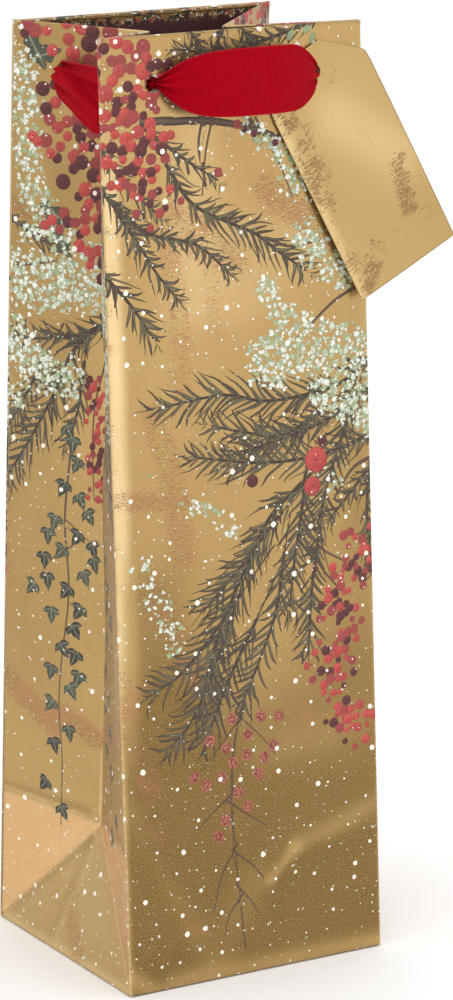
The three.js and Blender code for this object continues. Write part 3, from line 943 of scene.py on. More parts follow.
def worn_group() -> bpy.types.NodeTree:
    """Scratched wear: short dashes across and long scratches along, thick where the wear is strong."""
    tree, n, given, end = group("worn_print", {"Sheet": VECTOR, "Wear": FLOAT},
                                {"Mask": FLOAT, "Tone": FLOAT})
    speck = n.noise(n.scaled(given["Sheet"], 1.3, 1.9), 1.0, 3.0, 0.7).outputs[0]
    dash = n.noise(n.scaled(given["Sheet"], 0.35, 1.9), 1.0, 2.0, 0.6).outputs[0]
    line = n.noise(n.scaled(given["Sheet"], 2.1, 0.035), 1.0, 2.0, 0.55).outputs[0]
    soft = n.noise(given["Sheet"], 0.07, 3.0, 0.65).outputs[0]
    level = n.math("MULTIPLY_ADD", n.math("SUBTRACT", soft, 0.5), 0.3, n.times(given["Wear"], 0.2))
    marks = n.step(n.plus(n.plus(n.times(speck, 0.55), n.times(dash, 0.45)),
                          level), 0.64, 0.675)
    scratches = n.step(n.plus(line, n.times(level, 0.35)), 0.655, 0.69)
    broken = n.step(speck, 0.45, 0.6)
    total = n.math("MAXIMUM", marks, n.times(n.times(scratches, broken), 0.8))
    n.put(end.inputs["Mask"], total)
    n.put(end.inputs["Tone"], soft)
    return tree


def foil_group() -> bpy.types.NodeTree:
    """Satin foil: slow changes of gold, fine grain, roughness and the height of its crumpled surface."""
    tree, n, given, end = group("satin_foil", {"Sheet": VECTOR, "Light": COLOUR, "Deep": COLOUR},
                                {"Color": COLOUR, "Roughness": FLOAT, "Height": FLOAT})
    slow = n.noise(given["Sheet"], 0.012, 2.0).outputs[0]
    grain = n.noise(given["Sheet"], 1.9, 3.0, 0.7).outputs[0]
    share = n.plus(n.math("MULTIPLY_ADD", slow, 0.9, -0.25), n.times(grain, 0.35), clamp=True)
    n.put(end.inputs["Color"], n.mix(share, given["Deep"], given["Light"]))
    n.put(end.inputs["Roughness"],
          n.math("MULTIPLY_ADD", grain, 0.14, n.math("MULTIPLY_ADD", slow, 0.1, 0.22)))
    dent = n.noise(given["Sheet"], 0.14, 2.0, 0.5).outputs[0]
    n.put(end.inputs["Height"], n.plus(n.times(grain, 0.05), n.times(dent, 0.35)))
    return tree


class Effects:
    """Node groups that the finishes share, each built once."""

    made: dict = {}
    makers = {"needles": needle_group, "dots": dot_group, "worn": worn_group, "foil": foil_group}

    @classmethod
    def place(cls, nodes: Nodes, name: str, **values) -> bpy.types.Node:
        """Adds one of the groups to a material, with its inputs set."""
        if name not in cls.made:
            cls.made[name] = cls.makers[name]()
        node = nodes.add("ShaderNodeGroup", node_tree=cls.made[name])
        for label, value in values.items():
            nodes.put(node.inputs[label], value)
        return node


def new_material(name: str) -> tuple:
    """Empty material with its node helper and its shader."""
    material = bpy.data.materials.new(name)
    material.use_nodes = True
    shader = material.node_tree.nodes["Principled BSDF"]
    return material, Nodes(material.node_tree), shader


@dataclass(frozen=True)
class PrintedFoil:
    """Gold foil paper with the printed winter design, painted highlights and shade, and a painted salmon sheen.
    """

    light: str = "c4a66d"
    deep: str = "a98755"
    # low is the painted shade colour and high the painted highlight colour of the foil.
    low: str = "735a31"
    high: str = "eccf9b"
    needle_dark: str = "382b24"
    needle_light: str = "716a4d"
    wear: str = "8a5f35"
    metal: float = 0.9

    def printed(self, n: Nodes, sheet: Value, under: Value) -> tuple:
        """Draws the design over a foil colour and returns the colour and the share of ink."""
        worn = Effects.place(n, "worn", Sheet=sheet, Wear=n.attribute("wear", "Fac"))
        shade = n.mix(n.step(worn.outputs["Tone"], 0.35, 0.65), colour("7a5530"), colour("a8714a"))
        base = n.mix(n.times(worn.outputs["Mask"], 0.72), under, shade)
        ink = n.times(worn.outputs["Mask"], 0.7)
        _, beside, cover = n.parts(n.attribute("twig"))
        on_twig = n.times(n.step(n.math("ABSOLUTE", beside), 1.15, 0.85), n.math("GREATER_THAN", cover, 0.98))
        base = n.mix(on_twig, base,
                     n.mix(n.step(n.math("ABSOLUTE", beside), 0.9, 0.1), colour("3b2a24"), colour("665040")))
        ink = n.math("MAXIMUM", ink, on_twig)
        for number, name in enumerate(("pine_d", "pine_c", "pine_b", "pine_a")):
            place = n.attribute(name)
            for pitch, width, curl, seed in ((3.7, 0.68, 5.0, 1.0), (5.6, 0.7, -3.0, 7.0)):
                drawn = Effects.place(n, "needles", Place=place, Sheet=sheet, Pitch=pitch, Width=width,
                                      Curl=curl,
                                      Seed=seed + 11 * number)
                tint = n.mix(drawn.outputs["Tone"], colour(self.needle_dark), colour(self.needle_light))
                base = n.mix(drawn.outputs["Mask"], base, tint)
                ink = n.math("MAXIMUM", ink, drawn.outputs["Mask"])
        base, ink = self.leaves(n, base, ink)
        base, ink = self.blossom(n, sheet, base, ink)
        base, ink = self.berries(n, sheet, base, ink)
        for cell, least, most, share in ((8.5, 0.25, 1.15, 0.55), (3.4, 0.12, 0.4, 0.3)):
            snow = Effects.place(n, "dots", Sheet=sheet, Cell=cell, Least=least, Most=most, Share=share,
                                  Ragged=0.5)
            base = n.mix(snow.outputs["Mask"], base, colour("f7f1e4"))
            ink = n.math("MAXIMUM", ink, snow.outputs["Mask"])
        return base, ink

    def leaves(self, n: Nodes, base: Value, ink: Value) -> tuple:
        """Leaves with a pale midrib and a dark edge."""
        beside, _, depth = n.parts(n.attribute("leaf"))
        tone = n.attribute("tone", "Fac")
        mask = n.step(depth, 1.0, 1.06)
        tint = n.mix(tone, colour("35322b"), colour("9db083"))
        rib = n.step(n.math("ABSOLUTE", beside), 0.16, 0.05)
        tint = n.mix(n.times(rib, 0.55), tint, colour("a9a98a"))
        tint = n.mix(n.times(n.step(depth, 1.2, 1.04), 0.6), tint, colour("2c2a22"))
        return n.mix(mask, base, tint), n.math("MAXIMUM", ink, mask)

    def blossom(self, n: Nodes, sheet: Value, base: Value, ink: Value) -> tuple:
        """Frothy white and green blossom: three scatters of dots that thin out where the mask is weak."""
        bloom = n.attribute("bloom", "Fac")
        ragged = n.noise(sheet, 0.16, 2.0, 0.6).outputs[0]
        share = n.step(n.plus(bloom, n.times(n.math("SUBTRACT", ragged, 0.5), 1.2)), 0.12, 0.85)
        for cell, least, most, much in ((3.7, 0.9, 1.7, 1.0), (3.0, 0.7, 1.4, 1.0), (2.3, 0.5, 1.0, 0.85)):
            shifted = n.add("ShaderNodeVectorMath", {0: sheet, 1: (cell * 37, cell * 91, 0)},
                            operation="ADD").outputs[0]
            dots = Effects.place(n, "dots", Sheet=shifted, Cell=cell, Least=least, Most=most,
                                 Share=n.times(share, much), Ragged=2.6)
            tint = n.mix(n.step(dots.outputs["Tone"], 0.3, 0.9), colour("e4e6da"), colour("a0ad82"))
            tint = n.mix(n.step(dots.outputs["Depth"], 0.38, 0.05), tint, colour("8a9878"))
            base = n.mix(dots.outputs["Mask"], base, tint)
            ink = n.math("MAXIMUM", ink, dots.outputs["Mask"])
        return base, ink

    def berries(self, n: Nodes, sheet: Value, base: Value, ink: Value) -> tuple:
        """Round berries shaded towards their edge, with a small highlight; rose hips have rings."""
        tone, light, depth = n.parts(n.attribute("berry"))
        mask = n.step(depth, 1.0, 1.1)
        wash = n.math("MULTIPLY_ADD", n.noise(sheet, 0.7, 3.0, 0.65).outputs[0], 1.6,
                      n.math("MULTIPLY_ADD", light, 0.3, -0.8))
        red = n.mix(n.step(wash, -0.35, 0.4), colour("ae3735"), colour("c8574c"))
        dark = n.mix(n.step(wash, -0.35, 0.4), colour("4c2326"), colour("6a3031"))
        tint = n.mix(n.step(tone, 0.1, 0.4), dark, n.mix(n.step(tone, 0.5, 1.0), colour("96403d"), red))
        ragged = n.times(n.noise(sheet, 0.8, 2.0).outputs[0], 14.0)
        rings = n.step(n.math("SINE", n.math("MULTIPLY_ADD", depth, 11.0, ragged)), -0.2, 0.5)
        swirl = n.mix(rings, colour("7c3a2d"), colour("b5705a"))
        tint = n.mix(n.step(tone, 1.3, 1.6), tint, swirl)
        tint = n.mix(n.times(n.step(depth, 1.2, 1.04), 0.5), tint, colour("6a2a29"))
        tint = n.mix(n.times(n.step(depth, 1.8, 1.9), 0.5), tint, colour("4a2426"))
        return n.mix(mask, base, tint), n.math("MAXIMUM", ink, mask)

    def make(self) -> bpy.types.Material:
        """Builds the material."""
        material, n, shader = new_material("printed_foil_paper")
        sheet = n.attribute("sheet")
        foil = Effects.place(n, "foil", Sheet=sheet, Light=colour(self.light), Deep=colour(self.deep))
        # Painted light and shade: the stored painted highlights and shade plus a slow random drift, towards the
        # painted shade colour below 0 and the painted highlight colour above.
        wander = n.noise(sheet, 0.02, 2.0).outputs[0]
        painted_light_and_shade = n.plus(n.attribute("painted_light_and_shade", "Fac"), n.math("MULTIPLY_ADD", wander, 0.5, -0.25))
        gold = n.mix(n.step(painted_light_and_shade, 0.0, -1.1), foil.outputs["Color"], colour(self.low))
        gold = n.mix(n.step(painted_light_and_shade, 0.0, 1.3), gold, colour(self.high))
        # Fine grain specks where the painted shade lies.
        speck = n.noise(sheet, 1.9, 2.0, 0.7).outputs[0]
        dark_grain = n.times(n.step(painted_light_and_shade, 0.2, -0.9), n.step(speck, 0.42, 0.62))
        gold = n.mix(n.times(dark_grain, 0.55), gold, colour("b9975f"))
        # Pale worn lines along the folds, with the painted highlight line above the level crease.
        fold = n.times(n.attribute("crease", "Fac"),
                       n.step(n.noise(sheet, 0.5, 3.0, 0.7).outputs[0], 0.3, 0.6))
        gold = n.mix(n.times(fold, 0.6), gold, colour("e6c996"))
        # Painted salmon sheen where the tone numbers are high, which outside the leaves is the rear lower
        # triangle of each gusset.
        gold = n.mix(n.times(n.step(n.attribute("tone", "Fac"), 0.5, 1.0), 0.45), gold, colour("dba26c"))
        base, ink = self.printed(n, sheet, gold)
        n.put(shader.inputs["Base Color"], base)
        n.put(shader.inputs["Metallic"], n.math("MULTIPLY_ADD", ink, -0.72, self.metal))
        n.put(shader.inputs["Roughness"], n.math("MULTIPLY_ADD", ink, 0.16, foil.outputs["Roughness"]))
        bump = n.add("ShaderNodeBump",
                     {"Height": foil.outputs["Height"], "Strength": 0.35, "Distance": 0.0006})
        n.put(shader.inputs["Normal"], bump.outputs[0])
        return material


@dataclass(frozen=True)
class PlainPaper:
    """Uncoated paper or card with soft fibres."""

    name: str
    light: str
    dark: str
    rough: float = 0.8
    grain: float = 900.0

    def make(self) -> bpy.types.Material:
        """Builds the material on Object coordinates."""
        material, n, shader = new_material(self.name)
        place = n.add("ShaderNodeTexCoord").outputs["Object"]
        fibre = n.noise(place, self.grain, 4.0, 0.7).outputs[0]
        slow = n.noise(place, 40.0, 2.0).outputs[0]
        share = n.math("MULTIPLY_ADD", fibre, 0.6, n.times(slow, 0.4))
        n.put(shader.inputs["Base Color"],
              n.mix(n.step(share, 0.3, 0.7), colour(self.dark), colour(self.light)))
        n.put(shader.inputs["Roughness"], n.math("MULTIPLY_ADD", fibre, 0.15, self.rough - 0.08))
        bump = n.add("ShaderNodeBump", {"Height": fibre, "Strength": 0.25, "Distance": 0.0002})
        n.put(shader.inputs["Normal"], bump.outputs[0])
        return material


@dataclass(frozen=True)
class BareFoil:
    """Gold foil without print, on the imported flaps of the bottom."""

    light: str = "c4a66d"
    deep: str = "a98755"

    def make(self) -> bpy.types.Material:
        """Builds the material on Object coordinates, turned to millimetres."""
        material, n, shader = new_material("bare_foil_paper")
        place = n.scaled(n.add("ShaderNodeTexCoord").outputs["Object"], 1000.0, 1000.0, 1000.0)
        foil = Effects.place(n, "foil", Sheet=place, Light=colour(self.light), Deep=colour(self.deep))
        n.put(shader.inputs["Base Color"], foil.outputs["Color"])
        n.put(shader.inputs["Metallic"], 0.9)
        n.put(shader.inputs["Roughness"], foil.outputs["Roughness"])
        return material


@dataclass(frozen=True)
class TurnedHem:
    """Matt dark print of the turned-in hem, with the end of the foliage print along its fold."""

    def make(self) -> bpy.types.Material:
        """Builds the material; the sheet's height above the fold level marks the printed strip."""
        material, n, shader = new_material("turned_hem_print")
        sheet = n.attribute("sheet")
        _, height, _ = n.parts(sheet)
        fibre = n.noise(sheet, 1.4, 3.0, 0.6).outputs[0]
        plain = n.mix(fibre, colour("3c1b1d"), colour("542a2c"))
        ragged = n.noise(n.scaled(sheet, 0.5, 0.15), 1.0, 3.0, 0.7).outputs[0]
        drop = n.math("SUBTRACT", height, SHEET.length)
        strip = n.step(n.math("SUBTRACT", n.math("MULTIPLY_ADD", ragged, 12.0, -2.0), drop), -0.15, 0.15)
        spots = n.noise(sheet, 0.34, 2.0, 0.6).outputs[0]
        motif = n.mix(n.step(spots, 0.46, 0.5), colour("2f2a22"), colour("8d6a3c"))
        motif = n.mix(n.step(spots, 0.6, 0.63), motif, colour("a33a36"))
        motif = n.mix(n.step(n.noise(sheet, 0.8, 1.0).outputs[0], 0.6, 0.64), motif, colour("cfd6bd"))
        n.put(shader.inputs["Base Color"], n.mix(strip, plain, motif))
        n.put(shader.inputs["Roughness"], n.math("MULTIPLY_ADD", fibre, 0.2, 0.55))
        return material


@dataclass(frozen=True)
class RibbedRibbon:
    """Grosgrain ribbon: ribs across it, small loops along its edges and a soft sheen."""

    red: str = "ad0016"
    # Colour of the painted shade in the valleys between ribs, and of the random darker patches.
    dark: str = "8e0011"
    pitch: float = 1.05

    def make(self) -> bpy.types.Material:
        """Builds the material on the ribbon's own lengthwise and widthwise millimetres."""
        material, n, shader = new_material("ribbed_ribbon")
        along, across, _ = n.parts(n.attribute("sheet"))
        phase = n.times(along, 2 * math.pi / self.pitch)
        rib = n.math("MULTIPLY_ADD", n.math("SINE", phase), 0.5, 0.5)
        thread = n.math("MULTIPLY_ADD", n.math("SINE", n.times(across, 2 * math.pi / 0.5)), 0.5, 0.5)
        slow = n.noise(n.attribute("sheet"), 0.12, 3.0, 0.6).outputs[0]
        # Painted shade: darker in the valleys between ribs, with slow random patches.
        share = n.plus(n.times(rib, 0.7), n.math("MULTIPLY_ADD", slow, 0.6, -0.1), clamp=True)
        tint = n.mix(share, colour(self.dark), colour(self.red))
        edge = n.step(n.math("ABSOLUTE", across), 11.9, 12.2)
        picot = n.times(edge, n.step(rib, 0.5, 0.8))
        tint = n.mix(n.times(picot, 0.3), tint, colour("c8505a"))
        n.put(shader.inputs["Base Color"], tint)
        n.put(shader.inputs["Roughness"], n.math("MULTIPLY_ADD", rib, -0.12, 0.55))
        height = n.math("MULTIPLY_ADD", rib, 0.85, n.times(thread, 0.15))
        bump = n.add("ShaderNodeBump", {"Height": height, "Strength": 0.55, "Distance": 0.0003})
        n.put(shader.inputs["Normal"], bump.outputs[0])
        shader.inputs["Sheen Weight"].default_value = 0.01
        shader.inputs["Specular IOR Level"].default_value = 0.03
        return material


@dataclass(frozen=True)
class TagFoil:
    """Satin gold card of the tag: worn specks at its left edge and lower corner, long fine scratches, and a
    painted highlight down its middle and along its left edge.
    """

    light: str = "caad75"
    deep: str = "ac8d59"
    # Painted highlight colour of the card.
    high: str = "f5dca2"
    wear: str = "8a5f35"

    def make(self) -> bpy.types.Material:
        """Builds the material on the tag's own millimetres: across it and up it."""
        material, n, shader = new_material("tag_card")
        sheet = n.attribute("sheet")
        foil = Effects.place(n, "foil", Sheet=sheet, Light=colour(self.light), Deep=colour(self.deep))
        patchy = n.step(n.noise(sheet, 0.12, 3.0, 0.7).outputs[0], 0.25, 0.6)
        worn = Effects.place(n, "worn", Sheet=n.scaled(sheet, 0.72, 0.72),
                             Wear=n.times(n.attribute("wear", "Fac"), patchy))
        # Painted highlight where the stored painted light is high.
        gold = n.mix(n.step(n.attribute("painted_light_and_shade", "Fac"), 0.0, 1.2), foil.outputs["Color"], colour(self.high))
        tint = n.mix(n.times(worn.outputs["Mask"], 0.7), gold, colour(self.wear))
        n.put(shader.inputs["Base Color"], tint)
        n.put(shader.inputs["Metallic"], n.math("MULTIPLY_ADD", worn.outputs["Mask"], -0.6, 0.9))
        n.put(shader.inputs["Roughness"],
              n.math("MULTIPLY_ADD", worn.outputs["Mask"], 0.2, foil.outputs["Roughness"]))
        bump = n.add("ShaderNodeBump",
                     {"Height": foil.outputs["Height"], "Strength": 0.2, "Distance": 0.0004})
        n.put(shader.inputs["Normal"], bump.outputs[0])
        return material


class Finish(Enum):
    """Finishes of the bag's pieces."""

    FOIL = PrintedFoil()
    PAPER_BACK = PlainPaper("white_paper_back", "efe9dc", "d8d0c0")
    BARE_FOIL = BareFoil()
    CARD = PlainPaper("raw_card", "c2ac88", "93805f", 0.88, 500.0)
    HEM = TurnedHem()
    RIBBON = RibbedRibbon()
    TAG = TagFoil()

    @property
    def material(self) -> bpy.types.Material:
        """Material of the finish, built the first time that it is asked for."""
        if self.name not in MATERIALS:
            MATERIALS[self.name] = self.value.make()
        return MATERIALS[self.name]


MATERIALS: dict = {}


def dress(piece: Piece, *finishes: Finish) -> None:
    """Puts finishes in a piece's material slots, in order."""
    slots = piece.data.materials
    while len(slots) < len(finishes):
        slots.append(None)
    for number, finish in enumerate(finishes):
        slots[number] = finish.material


# ---------------------------------------------------------------------------
# Sub-assemblies of the folded bag

EAST = np.array([1.0, 0.0, 0.0])
# Soft ridges of the front panel: height, place across and up, angle in degrees, length and width.
RIDGES = (
    (0.34, 68, 41, 48, 12, 4), (0.4, 98, 50, 15, 26, 8), (-0.45, 84, 30, 20, 34, 9),
    (0.3, 12, 14, -62, 16, 5), (-0.25, 30, 24, -50, 20, 6), (0.25, 20, 90, 70, 30, 7),
    (0.2, 60, 120, 35, 30, 9), (-0.2, 90, 150, -30, 26, 8))


def bent(distance: Array, turn: float, radius: float) -> tuple:
    """Path of a sheet that runs straight, turns by an angle on a circle and runs straight again.

    Args:
        distance: distance along the sheet from where the turn starts; negative before it.
        turn: angle in radians.
        radius: radius of the turn.

    Returns:
        Distance ahead in the first direction and aside towards the turn.
    """
    arc = np.clip(distance, 0, turn * radius)
    rest = np.maximum(distance - turn * radius, 0)
    ahead = np.minimum(distance, 0) + radius * np.sin(arc / radius) + rest * math.cos(turn)
    aside = radius * (1 - np.cos(arc / radius)) + rest * math.sin(turn)
    return ahead, aside


def inward_of(points: Array, hint: Array) -> Array:
    """Unit direction through a grid of points, from the slopes of its rows and columns, on the hint's side."""
    normal = np.cross(np.gradient(points, axis=1), np.gradient(points, axis=0))
    normal /= np.linalg.norm(normal, axis=2, keepdims=True)
    middle = normal[normal.shape[0] // 2, normal.shape[1] // 2]
    return normal * np.sign(middle @ hint)


def face_out(piece: Piece, hint: Array) -> None:
    """Turns all faces round if the faces of the outer grid look against the direction given."""
    mesh = piece.data
    normals = np.zeros(len(mesh.polygons) * 3, np.float32)
    which = np.zeros(len(mesh.polygons), np.int32)
    mesh.polygons.foreach_get("normal", normals)
    mesh.polygons.foreach_get("material_index", which)
    outer = normals.reshape(-1, 3)[which == 0]
    if outer.mean(axis=0) @ hint < 0:
        mesh.flip_normals()
        mesh.update()


@dataclass
class Panel:
    """Front or back panel: foil skin folded round its corners and over the top, and its turned-in hem."""

    label: str
    lip: float = 0.7
    corner_radius: float = 0.4
    top_radius: float = 1.05
    foot_radius: float = 0.6
    hem_margin: float = 2.0
    columns: int = 148
    rows: int = 488
    seed: int = 3

    def across(self) -> Array:
        """Sheet distances of the columns, closer together round the two corner folds."""
        turn = self.corner_turn()
        half = turn * self.corner_radius / 2
        fold = np.linspace(-half, half, 7)
        left = np.concatenate([[-half - self.lip, -half - self.lip / 2], fold])
        middle = np.linspace(half, SHEET.width - half, self.columns)[1:-1]
        return np.concatenate([left, middle, SHEET.width - left[::-1]])

    def upward(self) -> Array:
        """Sheet distances of the rows, closer together round the bottom and top folds."""
        start, end = self.foot_radius, SHEET.length - self.top_radius
        under = np.linspace(start - math.pi / 2 * self.foot_radius - 0.5, start, 6)
        over = np.linspace(end, end + math.pi * self.top_radius + 0.8, 13)
        return np.concatenate([under, np.linspace(start, end, self.rows)[1:-1], over])

    @staticmethod
    def corner_turn() -> float:
        """Angle that the sheet turns through from the panel to the gusset."""
        along = SHEET.up
        side = SHEET.junction - SHEET.foot
        across = unit(side - (side @ along) * along)
        return math.acos(-across @ EAST)

    def surface(self, s: Array, t: Array) -> Array:
        """Outer surface: up the panel, turned at both corners, under at the foot and over at the top."""
        turn = self.corner_turn()
        half = turn * self.corner_radius / 2
        left_ahead, left_aside = bent(half - s, turn, self.corner_radius)
        right_ahead, right_aside = bent(half - (SHEET.width - s), turn, self.corner_radius)
        x = np.where(s < SHEET.width / 2, half - left_ahead, SHEET.width - half + right_ahead)
        aside = left_aside + right_aside
        over_up, over_in = bent(t - (SHEET.length - self.top_radius), math.pi, self.top_radius)
        under_up, under_in = bent(self.foot_radius - t, math.pi / 2, self.foot_radius)
        height = np.where(t > SHEET.length / 2, SHEET.length - self.top_radius + over_up,
                          self.foot_radius - under_up)
        inner = smooth(-0.3, 1.2, s) * smooth(-0.3, 1.2, SHEET.width - s)
        inward = aside + (over_in + under_in) * inner
        edge = (smooth(0, 9, s) * smooth(0, 9, SHEET.width - s)
                * smooth(0, 12, t) * smooth(0, 14, SHEET.length - t))
        bulge = ((1 - np.abs(2 * np.clip(s / SHEET.width, 0, 1) - 1) ** 5)
                 * np.sin(math.pi * np.clip(t / SHEET.length, 0, 1)) ** 0.5)
        outward = edge * (waves(s, t, self.seed) + bulge + self.dents(s, t))
        start = SHEET.foot[None, None]
        return (start + x[..., None] * EAST + height[..., None] * SHEET.up
                + (outward - inward)[..., None] * SHEET.out)

    @staticmethod
    def dents(s: Array, t: Array) -> Array:
        """Handling marks low on the panel: soft ridges along slanted lines."""
        total = np.zeros(np.shape(s))
        for height, s0, t0, angle, length, width in RIDGES:
            turn = math.radians(angle)
            along = (s - s0) * math.cos(turn) + (t - t0) * math.sin(turn)
            beside = -(s - s0) * math.sin(turn) + (t - t0) * math.cos(turn)
            total += height * np.exp(-((along / length) ** 2) - (beside / width) ** 2)
        return total

    def skin(self) -> Piece:
        """Foil skin of the front panel, with its two punched holes."""
        s, t = np.meshgrid(self.across(), self.upward())
        points = self.surface(s, t)
        inward = inward_of(points, -SHEET.out)
        holes = tuple((x, SHEET.length - SHEET.hole_drop)
                      for x in (SHEET.hole_inset, SHEET.width - SHEET.hole_inset))
        skin = PaperSkin(np.stack([s, t], axis=2), points, inward, holes=holes)
        piece = skin.build(f"{self.label}_panel_skin")
        face_out(piece, SHEET.out)
        return piece

    def hem(self) -> Piece:
        """Strip turned in over the stiffener: it hangs down inside from the fold at the top."""
        margin, depth = self.hem_margin, 2 * self.top_radius
        s, drop = np.meshgrid(np.linspace(margin, SHEET.width - margin, 110), np.linspace(0.4, SHEET.hem, 40))
        sag = (0.35 * np.sin(math.pi * s / SHEET.width) * (drop / SHEET.hem) ** 2
               + 0.2 * waves(s, drop, self.seed + 5))
        points = (SHEET.foot + s[..., None] * EAST + (SHEET.length - drop)[..., None] * SHEET.up
                  - (depth - 0.02 + np.maximum(sag, 0))[..., None] * SHEET.out)
        inward = inward_of(points, SHEET.out)
        holes = tuple((x, SHEET.length + SHEET.hole_drop)
                      for x in (SHEET.hole_inset, SHEET.width - SHEET.hole_inset))
        flat = np.stack([s, SHEET.length + drop], axis=2)
        piece = PaperSkin(flat, points, inward, holes=holes).build(f"{self.label}_hem_turn")
        face_out(piece, -SHEET.out)
        return piece


@dataclass
class Gusset:
    """Left gusset: two leaves that fold inwards over a foot triangle."""

    side: str = "left"
    top_radius: float = 0.55
    bend_width: float = 26.0
    hem_start: float = 2.2
    hem_short: float = 4.6
    columns: int = 78
    rows: int = 512
    seed: int = 11

    @staticmethod
    def crease_shift(t: Array) -> Array:
        """How far the centre crease bows out: a rising line plus a sine from the junction to the top."""
        share = np.clip((t - SHEET.half) / (SHEET.length - SHEET.half), 0, 1)
        return 2.2 * share + 4.8 * np.sin(math.pi * share) ** 1.2

    def front_half(self, c: Array, t: Array) -> Array:
        """Outer surface of the front half from the distance to the corner crease and the height.

        The lower facet and the upper leaf are planes that meet along the line from the top corner to the
        junction; the sheet turns from one to the other on a circle across that line.
        """
        foot, top, junction, apex = SHEET.foot, SHEET.top, SHEET.junction, SHEET.apex
        run = np.array([SHEET.half, SHEET.half - SHEET.length])
        length = np.linalg.norm(run)
        run = run / length
        along = c * run[0] + (t - SHEET.length) * run[1]
        beside = c * -run[1] + (t - SHEET.length) * run[0]
        line = (junction - top) / length
        facet_normal = unit(np.cross(junction - foot, top - foot))
        facet_across = unit(np.cross(line, facet_normal))
        facet_across *= -np.sign(facet_across @ (foot - top))
        leaf_across = apex - top - ((apex - top) @ line) * line
        leaf_across = unit(leaf_across)
        turn = math.acos(np.clip(facet_across @ leaf_across, -1, 1))
        aside_way = unit(leaf_across - (leaf_across @ facet_across) * facet_across)
        spread = 2 * 0.155 * np.minimum(along, length - along)
        width = np.clip(spread, 0.4, self.bend_width)
        ahead, aside = bent(beside + width / 2, turn, width / turn)
        points = (top + along[..., None] * line + (ahead - width / 2)[..., None] * facet_across
                  + aside[..., None] * aside_way)
        bend_at = SHEET.half * (SHEET.length - t) / (SHEET.length - SHEET.half)
        share = np.clip((c - bend_at) / np.maximum(SHEET.half - bend_at, 1e-3), 0, 1)
        return points - (self.crease_shift(t) * share**1.4)[..., None] * EAST

    def half(self, end: int) -> Piece:
        """Skin of one half: end is -1 for the front half and 1 for the rear half."""
        c, v = np.meshgrid(np.linspace(0.25, SHEET.half + 0.25, self.columns), np.linspace(0, 1, self.rows))
        top = SHEET.length - self.top_radius
        t = (c - 0.4) * (1 - v) + top * v
        points = self.front_half(c, t)
        fade = (smooth(0, 10, c) * smooth(0, 10, SHEET.half - c)
                * smooth(0, 14, t - c) * smooth(0, 10, SHEET.length - t))
        inward = inward_of(points, EAST)
        height = fade * (waves(c, t, self.seed + end, 0.2) + self.buckles(c, t))
        if end > 0:
            height = height + self.level_crease(c, t)
        points = points - height[..., None] * inward
        over = np.linspace(0, math.pi * self.top_radius + 0.8, 9)[1:, None]
        rise, inside = bent(over, math.pi, self.top_radius)
        upward = unit(points[-1, self.columns // 2] - points[-2, self.columns // 2])
        crown = points[-1][None] + rise[..., None] * upward + inside[..., None] * inward[-1][None]
        points = np.concatenate([points, crown])
        t = np.concatenate([t, top + over + 0 * c[:1]])
        c = np.concatenate([c, np.repeat(c[:1], len(over), axis=0)])
        inward = inward_of(points, EAST)
        if end > 0:
            points, inward = points * FRONT_TO_REAR, inward * FRONT_TO_REAR
        s = -c if end < 0 else c - SHEET.depth
        word = "front" if end < 0 else "rear"
        hole = (-SHEET.hole_inset if end < 0 else SHEET.hole_inset - SHEET.depth,
                SHEET.length - SHEET.hole_drop)
        skin = PaperSkin(np.stack([s, t], axis=2), points, inward, holes=(hole,))
        piece = skin.build(f"{self.side}_{word}_gusset_skin")
        face_out(piece, -EAST)
        return piece

    @staticmethod
    def level_crease(c: Array, t: Array) -> Array:
        """Pressed crease at the level of the junction, with the triangle under it dished a little inwards."""
        line = SHEET.half + 0.6
        ridge = 0.22 * np.exp(-(((t - line) / 0.8) ** 2)) - 0.16 * np.exp(-(((t - line + 2.0) / 0.7) ** 2))
        under = smooth(0, 14, line - t) * smooth(0, 16, t - c) * smooth(0, 9, c)
        return ridge * smooth(0.5, 4, c) * smooth(0, 5, SHEET.half - c) - 1.0 * under

    @staticmethod
    def buckles(c: Array, t: Array) -> Array:
        """Small buckles of the paper above the junction."""
        near = np.exp(-(((c - 46) / 9) ** 2) - ((t - 62) / 13) ** 2)
        return 0.5 * near * np.sin((t - 52) / 3.1 + c / 7)

    def hem(self, end: int) -> Piece:
        """Strip turned in at the top of one leaf."""
        c, drop = np.meshgrid(np.linspace(self.hem_start, SHEET.half - self.hem_short, 54),
                              np.linspace(0.3, SHEET.hem, 40))
        t = SHEET.length - drop
        points = self.front_half(c, t)
        inward = inward_of(points, EAST)
        points = points + (2 * self.top_radius - 0.02) * inward
        s = -c if end < 0 else c - SHEET.depth
        if end > 0:
            points, inward = points * FRONT_TO_REAR, inward * FRONT_TO_REAR
        word = "front" if end < 0 else "rear"
        hole = (-SHEET.hole_inset if end < 0 else SHEET.hole_inset - SHEET.depth,
                SHEET.length + SHEET.hole_drop)
        flat = np.stack([s, SHEET.length + drop], axis=2)
        piece = PaperSkin(flat, points, -inward, holes=(hole,)).build(f"{self.side}_{word}_hem_turn")
        face_out(piece, EAST)
        return piece

